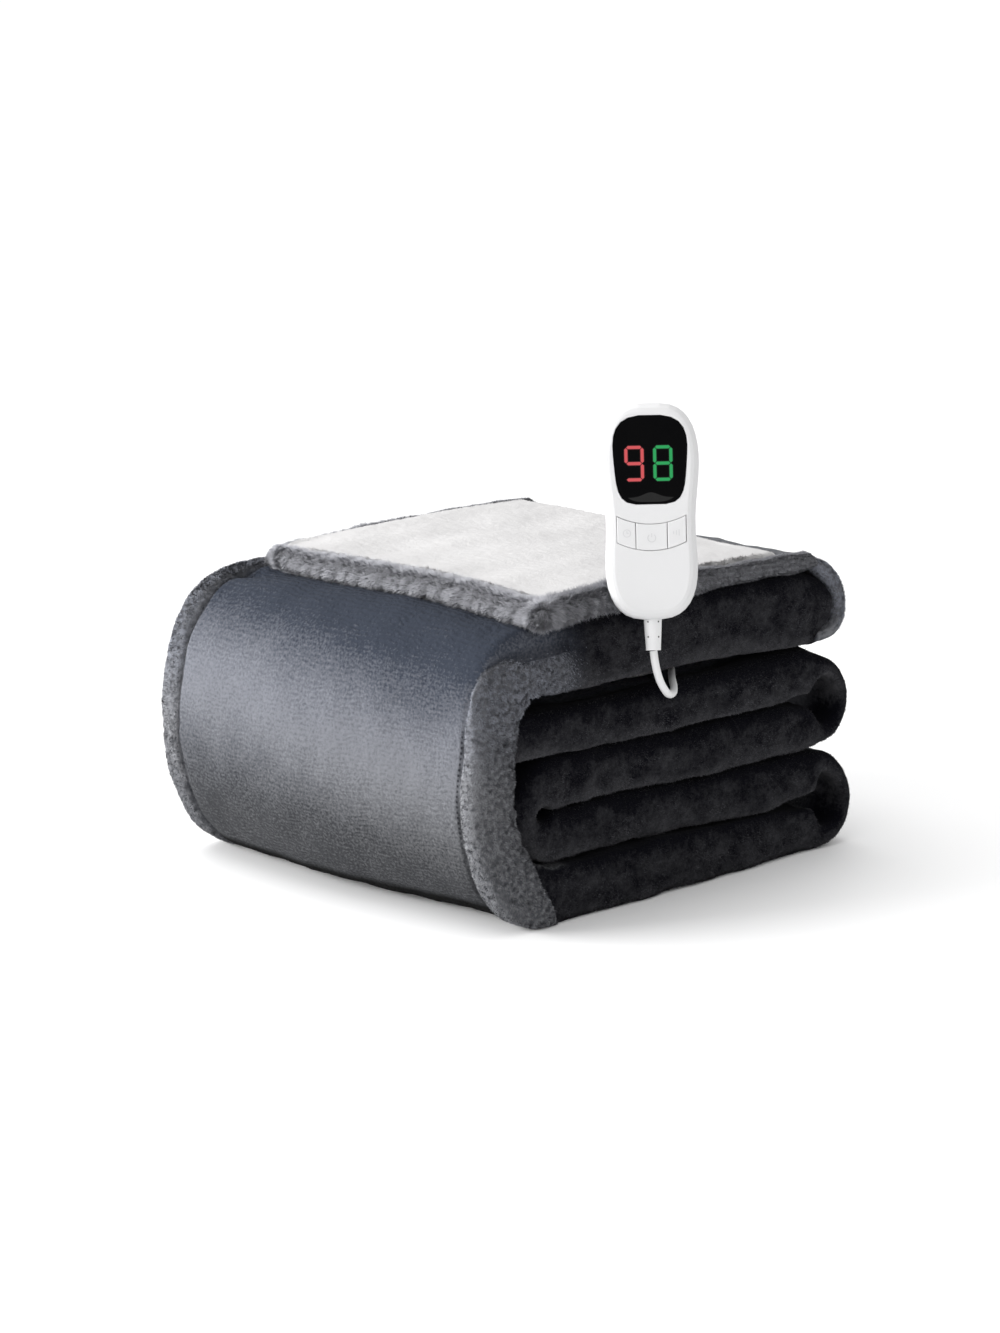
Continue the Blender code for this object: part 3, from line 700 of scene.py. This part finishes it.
    def layers(self):
        """Numbers at each point that the cloth's material and the fibres read."""
        x, y, z = np.moveaxis(self.points, -1, 0)
        outer = self.side > 0
        strip = np.where(outer, 1 - smooth(self.near, self.stitch - MM, self.stitch), 1.0)
        strip = strip * np.where(outer, 1.0, fall(self.near, 3, 6))
        below = (self.own["fold1"] + self.own["five"]) * (y < 0)
        hem = self.wrap * strip * mix(1.0, left_of_lip(x, z), below)
        facing = smooth(np.abs(self.normals[..., 1]), 0.3, 0.8)
        beyond_seam = outer * (1 - strip) * self.wrap * (z > 140 * MM)
        # Painted shade: fold ends that face front or back are painted charcoal, and so is the inside of each
        # fold near its crease.
        dark = facing * (1 - hem) * (1 - self.flap) * (1 - beyond_seam)
        turned_right = smooth(self.normals[..., 0], 0.55, 0.85)
        reach = mix(40 * MM, 14 * MM, outer * (self.own["fold2"] + self.own["fold4"]))
        recess_shade = self.inner * (1 - smooth(self.near, reach / 2, reach)) * (1 - turned_right)
        dark = np.maximum(dark, recess_shade)
        # Painted contact shadow: the downward-facing bottom near the floor, to a lower height on the fold
        # ends than on the sides.
        limit = mix(15 * MM, 4 * MM, facing)
        under = smooth(-self.normals[..., 2], 0.1, 0.5) * (1 - smooth(z, limit - 3 * MM, limit + 3 * MM))
        seam_gap = np.where(outer & (self.wrap > 0.5), (self.near - self.stitch) / MM, 50.0)
        # The 'nap' layer is painted light and shade: a lighter sheen band across the side faces where the key
        # light falls, darker at the top as painted shade below the flap's roll.
        peak = mix(SHEEN_BAND_FRONT, SHEEN_BAND_BACK, smooth(y, FRONT, BACK))
        nap = np.exp(-(((z - peak) / SHEEN_BAND_WIDTH) ** 2)) * mix(1.05, 1.0, rise(y, -110, 90))
        lit = np.exp(-(((z - 112 * MM) / (48 * MM)) ** 2)) * smooth(-self.normals[..., 0], -0.3, 0.75)
        lit = mix(lit + 0.3 * rise(z, 125, 165) * fall(x, -125, -90), 0.9, self.flap)
        return {
            "dark": dark,
            "under": under,
            "hem": hem,
            "seam": np.clip(seam_gap, -50, 50),
            "lit": lit,
            "nap": nap - 0.3 * rise(z, 160, 190) + 0.5 * beyond_seam * facing,
            "ribbed": (1 - dark) * (1 - hem) * (1 - beyond_seam * facing),
            "cool": rise(z, 40, 150),
            "sewn": rise(z, 50, 70) * fall(z, 128, 148),
            "roll": self.flap,
            "along": self.along,
            "rib": np.where(self.flap > 0, self.girth / RIM_RIB, self.along / RIB_LENGTH),
            "lower": 0.5 - 0.5 * self.normals[..., 2],
        }


def build_blanket(band):
    cloth = add_grid("blanket_cloth", band.points, PLUSH, band.numbers)
    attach(cloth, BODY)
    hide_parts("blanket")


# --------------------------------------------------------------- the white pile
PANEL_THICKNESS = 4.6 * MM
PANEL_EDGE = 5 * MM
PANEL_CURL = 0.2 * MM
PANEL_ROLLS = 1.3 * MM
PANEL_SHORT = (4.5, 1.5)  # stations of the flap left bare before the first fold, front and back
PANEL_ROWS = 190
PANEL_COLUMNS = 170


def build_pile(band):
    """The white pile side of the flap, inside its hem and up to the turn of the first fold."""
    t = np.linspace(1, 0, PANEL_COLUMNS)[None, :]
    row = np.arange(PANEL_ROWS)[:, None] / (PANEL_ROWS - 1)
    start = int(np.argmax(band.s["x"][:, 0] > FLAP_END + ROLL_WIDTH - 3 * MM))
    last = sum(band.label == "flap") - 1 - mix(*PANEL_SHORT, smooth(t, 0.1, 0.8))
    place = start + row * (last - start)
    low = place.astype(int)
    s = {key: mix(values[low, 0], values[low + 1, 0], place - low) for key, values in band.s.items()}
    depth = s["back"] - s["front"]
    edge, edge_back = s["seam"], 8 * MM
    v = edge + (depth - edge - edge_back) * t
    length = 0.26
    inward = np.minimum(np.minimum(v - edge, depth - v - edge_back), np.minimum(row, 1 - row) * length)
    puff = PANEL_THICKNESS * swell(inward / PANEL_EDGE, 2.0)
    flat = drape(s["x"] + s["nx"] * s["left"], s["front"] + v, s["z"] + s["nz"] * s["left"])
    curl = clouds(flat, 7 * MM, 21) * 0.5 + clouds(flat, 3.2 * MM, 22) * 0.5
    rolls = clouds(flat * np.array([0.55, 1.0, 1.0]), 34 * MM, 23)
    full = rise(inward, 0, 8)
    puff = puff + PANEL_CURL * curl * (0.4 + 0.6 * full) + PANEL_ROLLS * rolls * full
    normals = grid_normals(flat)
    points = flat + normals * (GAP + np.maximum(puff, 0))[..., None]
    pile = add_grid("pile_cloth", points, PILE, {})
    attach(pile, BODY)
    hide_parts("pile_panel")
    border = fall(inward, 1, 7)
    far = np.maximum(smooth(v, 0.2, 0.27), smooth(row, 0.9, 0.95))
    out = np.gradient(border, axis=0)[..., None] * np.gradient(points, axis=0)
    out = unit(out + np.gradient(border, axis=1)[..., None] * np.gradient(points, axis=1))
    add_fur(
        "pile_fringe", Pelt(points, grid_normals(points), border * mix(1.0, 0.3, far), out),
        PILE_FIBRE, count=60000, length=lambda at: mix(2.6, 1.0, at(far)) * MM, width=0.4 * MM,
        lean=0.9, sky=0.4,
    )


# ------------------------------------------------------------------- the fibres
Pelt = namedtuple("Pelt", "points normals weight comb face", defaults=(None,))


def scatter(points, weight, count, draw):
    """A function that reads any grid at random places of the surface, more of them where weight is larger."""
    corner, across, along = points[:-1, :-1], points[:-1, 1:], points[1:, :-1]
    area = np.linalg.norm(np.cross(across - corner, along - corner), axis=-1) * weight[:-1, :-1]
    chance = np.cumsum(area.ravel())
    picked = np.searchsorted(chance, draw.random(count) * chance[-1])
    i, j = np.unravel_index(np.minimum(picked, chance.size - 1), area.shape)
    s, t = draw.random((2, count, 1))

    def at(grid):
        grid = np.broadcast_to(grid, points.shape[:2]) if grid.ndim == 2 else grid
        grid = grid if grid.ndim == 3 else grid[..., None]
        upper = grid[i, j] * (1 - t) + grid[i, j + 1] * t
        return upper * (1 - s) + (grid[i + 1, j] * (1 - t) + grid[i + 1, j + 1] * t) * s

    return at


def add_fur(
    name, pelt, material, count, length, width, lean, shade=lambda at: 1.0,
    tones=(0.1, 1.0), clumps=5 * MM, mat=0.75, patch=0.5, spread=0.3, sky=0.0, seed=1,
):
    """Fibres on a surface as thin triangles, combed and clumped, lighter at their tips."""
    draw = np.random.default_rng(seed)
    at = scatter(pelt.points, pelt.weight, count, draw)
    root, normal = at(pelt.points), unit(at(pelt.normals))
    comb = at(pelt.comb)
    comb = comb - normal * np.sum(comb * normal, -1, keepdims=True)
    shift = Vector((seed * 3.1, seed * 1.7, seed * 2.3))
    clump = np.array([noise.noise_vector(Vector(p) / clumps + shift) for p in root])
    loose = draw.normal(0, 0.28, (count, 3))
    way = unit(normal * math.cos(lean) + comb * math.sin(lean) + mat * clump + loose)
    way = unit(way + normal * np.maximum(0.15 - np.sum(way * normal, -1, keepdims=True), 0))
    size = length(at) * draw.uniform(0.55, 1.1, (count, 1))
    face = normal if pelt.face is None else unit(at(pelt.face))
    side = unit(np.cross(way, face)) * width / 2
    base = root - normal * 0.3 * MM
    verts = np.stack([base - side, base + side, root + way * size], 1).reshape(-1, 3)
    verts[:, 2] = np.maximum(verts[:, 2], 0.0)
    fibres = bpy.data.meshes.new(name)
    fibres.vertices.add(3 * count)
    fibres.loops.add(3 * count)
    fibres.polygons.add(count)
    fibres.vertices.foreach_set("co", verts.astype(np.float32).ravel())
    fibres.loops.foreach_set("vertex_index", np.arange(3 * count, dtype=np.int32))
    fibres.polygons.foreach_set("loop_start", np.arange(0, 3 * count, 3, dtype=np.int32))
    fibres.update(calc_edges=True)
    own = unit(np.cross(2 * side, way))
    shown = unit(face * 0.8 + own * 0.35 + np.array([0, 0, sky]))
    fibres.normals_split_custom_set_from_vertices(np.repeat(shown, 3, axis=0).tolist())
    each = draw.uniform(1 - spread, 1 + spread, (count, 1)) * (1 + patch * clump[:, :1]) * shade(at)
    tone = np.concatenate([each * tones[0], each * tones[0], each * tones[1]], 1).ravel()
    add_layer(fibres, "tone", tone)
    fibres.materials.append(material)
    thing = add_object(name, fibres)
    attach(thing, BODY)
    return thing


def build_roll_fur(band):
    """Long fibres on the flap's rolled hem, shorter and in fine rows towards the right."""
    s, near = band.s, band.near
    x = s["x"] * np.ones_like(near)
    at_edge = 1 - smooth(near, s["seam"] - 1 * MM, s["seam"] + 3 * MM)
    at_end = band.own["flap"] * (1 - smooth(x, FLAP_END + 17 * MM, FLAP_END + 22 * MM))
    upper = np.where(band.side < 0, 1.0, fall(near, 3, 9))
    upper = np.where((band.side > 0) & (x < -104 * MM), 1.0, upper)
    short = rise(x, 5, 60)
    weight = band.own["flap"] * np.maximum(at_edge, at_end) * upper * mix(1.0, 0.8, short)
    outward = np.zeros((*near.shape, 3))
    over_edge = np.where(near < 0.55 * s["seam"], 1.0, -0.8)
    over_end = np.where(x < FLAP_END + 0.5 * ROLL_WIDTH, 1.0, -0.8)
    outward[..., 1] = np.where(band.v < 0.15, -1.0, 1.0) * at_edge * over_edge
    outward[..., 0] = -1.0 * at_end * over_end - 0.15
    outward[..., 2] = -0.45
    inside = rise(np.minimum(near, np.where(at_end > 0, x - FLAP_END, near)), 3, 9)
    edge = x + band.v
    seen = inside * (1 - smooth(band.v, 0.2, 0.26) * (at_end < 0.5))
    away = np.zeros((*near.shape, 3)) + np.array([0.0, 0.0, 0.7])
    away[..., 0] = -1.0 * (at_end > 0.5)
    away[..., 1] = -1.0 * (band.v < 0.15) * (at_end < 0.9)
    face = unit(band.normals * (1 - seen[..., None]) + unit(away) * seen[..., None])

    # Painted shade and light: darker in the tucks of the gathered hem, lighter on the inner side that turns
    # from the key light, and light and dark rows as painted shade of the ribs' relief.
    def shade(at):
        tucks = mix(0.45 + 0.75 * lobes(at(edge)), 1.0, 0.6 * at(inside))
        rows = 0.85 + 0.35 * np.sin(2 * math.pi * at(band.girth) / RIM_RIB)
        return mix(tucks, 0.8 * rows, at(short)) * (1 + 0.6 * at(inside))

    def length(at):
        shorter = np.maximum(at(short), 0.6 * smooth(at(band.v), 0.2, 0.26))
        return mix(6.0, 2.0, shorter) * MM * (0.55 + 0.45 * lobes(at(edge)))

    add_fur(
        "roll_fur", Pelt(band.points, band.normals, weight, unit(outward), face), ROLL_FIBRE,
        count=190000, length=length, width=0.42 * MM, lean=0.85,
        shade=shade, clumps=1.8 * MM, mat=0.4, patch=0.35, sky=0.35, seed=2,
    )


def build_hem_fur(band):
    """Short fibres on the hems of the wrap and of the rim at the right."""
    near, hem, lit = band.near, band.numbers["hem"], band.numbers["lit"]
    rim = band.own["fold0"] * fall(near, 8, 12)
    rim = rim * rise(band.points[..., 2], 152, 170)
    comb = np.zeros((*near.shape, 3)) + unit(np.array([-0.3, 0.0, -1.0]))

    # Painted light and shade: lighter along the lit band and at the lip's edge, darker on level five where
    # the lip overhangs it, light and dark rows as painted shade of the rim's ribs; also darker towards the
    # back.
    def shade(at):
        root = at(band.points)
        lip = np.exp(-((at(near) / (0.8 * MM)) ** 2)) * (1 - at(rim))
        cut = mix(1.0, left_of_lip(root[:, :1], root[:, 2:]), (root[:, 1:2] < 0) * (root[:, :1] < -60 * MM))
        rows = 1.8 + 0.5 * np.sin(2 * math.pi * at(band.girth) / RIM_RIB)
        back = 1 - 0.35 * rise(root[:, 1:2], 60, 120)
        return mix(0.65 + 1.5 * at(lit) + 0.2 * lip, rows, at(rim)) * (0.25 + 0.75 * cut) * back

    add_fur(
        "hem_fur", Pelt(band.points, band.normals, np.maximum(hem**2, rim), comb), HEM_FIBRE,
        count=170000, length=lambda at: 1.7 * MM, width=0.5 * MM, lean=0.6,
        shade=shade, tones=(0.12, 1.0), clumps=2.8 * MM, mat=0.6, patch=1.3, spread=0.55, sky=0.15,
        seed=3,
    )


def build_nap(band):
    """Very short fibres on the ends of the folds, where they show at the front and the back."""
    near = band.near
    facing = smooth(np.abs(band.normals[..., 1]), 0.25, 0.6)
    hidden = fall(near, 14, 18)
    weight = band.numbers["dark"] * facing * hidden
    down = np.zeros((*near.shape, 3)) + unit(np.array([0.25, 0.0, -1.0]))

    # Painted shade: darker where the surface faces up and lighter where it faces down, with random brushed
    # patches.
    def shade(at):
        root = at(band.points)
        brushed = np.stack([0.8 * root[:, 0], root[:, 1], 1.2 * root[:, 2]], -1)
        patches = 0.5 * clouds(brushed, 19 * MM, 31) + 0.5 * clouds(brushed, 6 * MM, 32)
        return (0.12 + 1.6 * at(band.numbers["lower"]) ** 1.7) * np.clip(1 + 0.8 * patches[:, None], 0.1, 3)

    add_fur(
        "nap_fur", Pelt(band.points, band.normals, weight, down), NAP_FIBRE, count=170000,
        length=lambda at: 1.3 * MM, width=0.5 * MM, lean=0.75, shade=shade,
        tones=(0.1, 0.8), clumps=2.6 * MM, mat=0.9, patch=0.7, spread=0.85, seed=4,
    )


# ------------------------------------------------------------------- the lead
LEAD_DIAMETER = 5 * MM
LEAD_ROUTE = [
    (-42.1, -183.6, 178.1),
    (-42.5, -185.8, 170.0),
    (-40.2, -187.0, 160.5),
    (-33.4, -185.1, 152.0),
    (-23.3, -179.6, 146.0),
    (-12.0, -171.8, 143.4),
    (-1.6, -162.6, 142.0),
    (8.2, -153.0, 141.2),
    (17.2, -143.4, 140.7),
    (26.2, -133.8, 140.3),
    (35.4, -124.4, 140.2),
    (44.6, -115.0, 140.2),
]
COIL_CENTRE = Vector((27.5, -73.9, 0)) * MM
COIL_LOW = 137.4 * MM
COIL_OUTER_TURN = 39 * MM
COIL_TURNS = 5
TURN_POINTS = 24


def coil_points():
    """Five turns inwards on the lower layer, then five outwards on the upper one."""
    tangent = Vector(LEAD_ROUTE[-1]) - Vector(LEAD_ROUTE[-2])
    heading = math.atan2(tangent.y, tangent.x) - math.pi / 2
    lower = COIL_LOW + GAP + LEAD_DIAMETER / 2
    points = []
    for k in range(2 * COIL_TURNS * TURN_POINTS + 1):
        turn = k / TURN_POINTS
        inward = min(turn, 2 * COIL_TURNS - turn)
        radius = COIL_OUTER_TURN - LEAD_DIAMETER * inward
        angle = heading + 2 * math.pi * turn
        climb = LEAD_DIAMETER * float(smooth(turn, COIL_TURNS - 0.2, COIL_TURNS + 0.2))
        side = Vector((math.cos(angle), math.sin(angle), 0)) * radius
        points.append(COIL_CENTRE + side + Vector((0, 0, lower + climb)))
    return points


def build_lead():
    route = [Vector(p) * MM for p in LEAD_ROUTE] + coil_points()
    curve = bpy.data.curves.new("lead_cord", "CURVE")
    curve.dimensions = "3D"
    curve.bevel_depth = LEAD_DIAMETER / 2
    curve.bevel_resolution = 3
    curve.resolution_u = 4
    curve.use_fill_caps = True
    spline = curve.splines.new("BEZIER")
    spline.bezier_points.add(len(route) - 1)
    for point, place in zip(spline.bezier_points, route):
        point.co = place
        point.handle_left_type = point.handle_right_type = "AUTO"
    curve.materials.append(JACKET)
    lead = add_object("lead_cord", curve)
    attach(lead, BODY)
    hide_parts("lead", "lead_coil")


# ----------------------------------------------------------------- the handset
HANDSET_CENTRE = Vector((-29.4, -167.3, 263.9)) * MM
HANDSET_TURN = Euler(
    (math.radians(-13.5), math.radians(-1.2), math.radians(-43.0)), "YXZ"
)  # leans back, tilts, then turns to the left
HANDSET = Matrix.Translation(HANDSET_CENTRE) @ HANDSET_TURN.to_matrix().to_4x4()
HALF_HEIGHT = 68.4
HALF_THICKNESS = 10.0

DIGIT_HALF_WIDTH = 5.1
DIGIT_HALF_HEIGHT = 10.2
DIGIT_HEIGHT = 29.9
DIGIT_STROKE = 1.9
DIGIT_GAP = 0.35
DIGITS = (("nine", -10.1, "ABCDFG"), ("eight", 8.0, "ABCDEFG"))
GLOW_EDGE = 0.9


def flat_shapes(name, outlines, out, material, body):
    """Thin flat marks on the handset: outlines of (across, up) in mm, out mm before its face."""
    verts, faces = [], []
    for outline in outlines:
        faces.append(tuple(range(len(verts), len(verts) + len(outline))))
        verts += [HANDSET @ (Vector((u, -HALF_THICKNESS - out, w)) * MM) for u, w in outline]
    mark = add_mesh(name, verts, faces, material, False)
    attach(mark, body)
    return mark


def bar(u, w, half, upright, stroke):
    """One bar of a digit, with pointed ends."""
    t = stroke / 2
    line = [(-half, 0), (-half + t, -t), (half - t, -t), (half, 0), (half - t, t), (-half + t, t)]
    return [(u + b, w + a) if upright else (u + a, w + b) for a, b in line]


def digit(u, bars, grow=0.0):
    """The bars of a seven-bar digit, lettered from its top round to its middle."""
    wide, tall = DIGIT_HALF_WIDTH, DIGIT_HALF_HEIGHT
    places = {
        "A": (0, tall, False),
        "B": (wide, tall / 2, True),
        "C": (wide, -tall / 2, True),
        "D": (0, -tall, False),
        "E": (-wide, -tall / 2, True),
        "F": (-wide, tall / 2, True),
        "G": (0, 0, False),
    }
    outlines = []
    for letter in bars:
        across, up, upright = places[letter]
        half = (tall / 2 if upright else wide) - DIGIT_GAP + grow
        stroke = DIGIT_STROKE + 2 * grow
        outlines.append(bar(u + across, DIGIT_HEIGHT + up, half, upright, stroke))
    return outlines


def arc_band(u, w, radius, stroke, start, end, steps=20):
    """A curved stroke as small quads, with its angles in degrees."""
    quads = []
    for k in range(steps):
        one, two = (math.radians(mix(start, end, (k + j) / steps)) for j in (0, 1))
        inner, outer = radius - stroke / 2, radius + stroke / 2
        corners = ((inner, one), (outer, one), (outer, two), (inner, two))
        quads.append([(u + r * math.cos(a), w + r * math.sin(a)) for r, a in corners])
    return quads


def stroke_bar(u, w, wide, tall):
    return [(u - wide / 2, w - tall / 2), (u + wide / 2, w - tall / 2),
            (u + wide / 2, w + tall / 2), (u - wide / 2, w + tall / 2)]


def build_handset():
    for node, material, slot_name in (
        ("handset_housing", HOUSING, "white_plastic"),
        ("display_window", WINDOW, "black_window"),
        ("key_left", KEY, "white_key"),
        ("key_middle", KEY, "white_key"),
        ("key_right", KEY, "white_key"),
        ("strain_relief", JACKET, "white_jacket"),
    ):
        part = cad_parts[node]
        part.data.materials.clear()
        part.data.materials.append(material)
    for (name, u, bars), colour in zip(DIGITS, (RED, GREEN)):
        # Painted glow: a dim emitting halo round each digit stands in for the light the digits spread into
        # the window.
        glow = glow_material(f"{name}_glow", colour, 0.09)
        lit = glow_material(f"{name}_light", colour, 1.0)
        flat_shapes(f"{name}_glow", digit(u, bars, GLOW_EDGE / 2), 0.03, glow, BODY)
        flat_shapes(f"{name}_digit", digit(u, bars), 0.06, lit, BODY)
    marks = np.linspace(-14.5, 14.5, 41)
    hill = [(u, 8.4 + 3.2 * math.exp(-((u / 6.5) ** 2))) for u in marks]
    hill += [(u, 5.6 + 2.8 * (u / 14.5) ** 4) for u in marks[::-1]]
    grey = glow_material("hill_grey", (1.0, 1.0, 1.0), 0.011)
    flat_shapes("display_hill", [hill], 0.04, grey, BODY)
    proud = 0.26
    power = arc_band(0, -17.2, 2.5, 0.5, 125, 415) + [stroke_bar(0, -15.4, 0.5, 2.6)]
    clock = arc_band(-15.6, -14.0, 2.3, 0.45, 0, 360) + [
        stroke_bar(-15.6, -13.3, 0.45, 1.5),
        stroke_bar(-15.1, -14.0, 1.1, 0.45),
    ]
    heat = [stroke_bar(15.6 + k * 1.7, -14.0, 0.5, 3.0 + k) for k in (-1, 0, 1)]
    for body, outlines in (("middle_key", power), ("left_key", clock), ("right_key", heat)):
        flat_shapes(f"{body}_icon", outlines, proud, ICON, body)
    dots = [(u, below) for u in (-3.2, 3.2) for below in (1.4, 11.0)]
    for k, (u, below) in enumerate(dots):
        w, radius = -HALF_HEIGHT - below, 6.0 - 0.05 * (below + 6)
        out = math.sqrt(radius**2 - u**2) - HALF_THICKNESS + 0.15
        ring = [(u + 0.6 * math.cos(a), w + 0.6 * math.sin(a)) for a in np.linspace(0, 2 * math.pi, 13)[:-1]]
        flat_shapes(f"relief_dot_{k}", [ring], out, DOT, BODY)


# ----------------------------------------------------------- light and camera
def build_camera():
    data = bpy.data.cameras.new("camera")
    data.sensor_fit = "VERTICAL"
    data.sensor_height = SENSOR
    data.lens = LENS
    data.clip_end = 20
    camera = add_object("camera", data)
    camera.rotation_euler = (math.pi / 2 - CAMERA_HEIGHT, 0, CAMERA_TURN)
    away = Euler(camera.rotation_euler).to_matrix() @ Vector((0, 0, CAMERA_DISTANCE))
    camera.location = CAMERA_TARGET + away
    bpy.context.scene.camera = camera


FLOOR_HALF = 30.0
FILL = 0.74
TOP_POWER = 1.22
KEY_PLACE = (-2.15, 1.55, 0.85)
KEY_SIZE = (1.9, 1.3)
KEY_POWER = 124
AIM = (-0.1, 0.0, 0.12)


def add_light(name, kind, place, power):
    data = bpy.data.lights.new(name, kind)
    data.energy = power
    light = add_object(name, data)
    light.location = place
    light.rotation_euler = (Vector(AIM) - Vector(place)).to_track_quat("-Z", "Y").to_euler()
    return data


def build_stage():
    far = FLOOR_HALF
    corners = [(-far, -far, 0), (far, -far, 0), (far, far, 0), (-far, far, 0)]
    add_mesh("floor", corners, [(0, 1, 2, 3)], floor_material())
    world = bpy.data.worlds.new("studio")
    bpy.context.scene.world = world
    world.use_nodes = True
    background = world.node_tree.nodes["Background"]
    background.inputs["Color"].default_value = (1, 1, 1, 1)
    background.inputs["Strength"].default_value = FILL
    key = add_light("key", "AREA", KEY_PLACE, KEY_POWER)
    key.shape = "RECTANGLE"
    key.size, key.size_y = KEY_SIZE
    top = add_light("top", "SUN", (-0.6, 0.5, 3.0), TOP_POWER)
    top.angle = math.radians(50)
    bpy.context.scene.view_settings.view_transform = "Standard"


PLUSH = plush_material()
PILE = pile_material()
PILE_FIBRE = fibre_material("pile_fibre", (0.50, 0.495, 0.495), (0.63, 0.622, 0.622))
ROLL_FIBRE = fibre_material("roll_fibre", (0.075, 0.077, 0.085), (0.375, 0.378, 0.405))
HEM_FIBRE = fibre_material("hem_fibre", (0.070, 0.072, 0.080), (0.250, 0.254, 0.268), (0.95, 0.98, 1.07))
# Near-black fibres for the fold ends, which carry the painted shade of the cloth there.
NAP_FIBRE = fibre_material("nap_fibre", (0.007, 0.007, 0.009), (0.070, 0.070, 0.077))
JACKET = plastic_material("white_jacket", (0.74, 0.74, 0.745), 0.45)
HOUSING = plastic_material("white_plastic", (0.65, 0.65, 0.655), 0.42)
KEY = plastic_material("white_key", (0.65, 0.65, 0.655), 0.42)
ICON = plastic_material("icon_grey", (0.55, 0.55, 0.56), 0.5)
DOT = plastic_material("dot_dark", (0.05, 0.05, 0.05), 0.6)
WINDOW = window_material()
RED = (0.66, 0.09, 0.10)
GREEN = (0.02, 0.36, 0.10)

build_camera()
build_lead()
build_stage()
build_handset()
band = Band()
build_blanket(band)
build_pile(band)
build_roll_fur(band)
build_hem_fur(band)
build_nap(band)
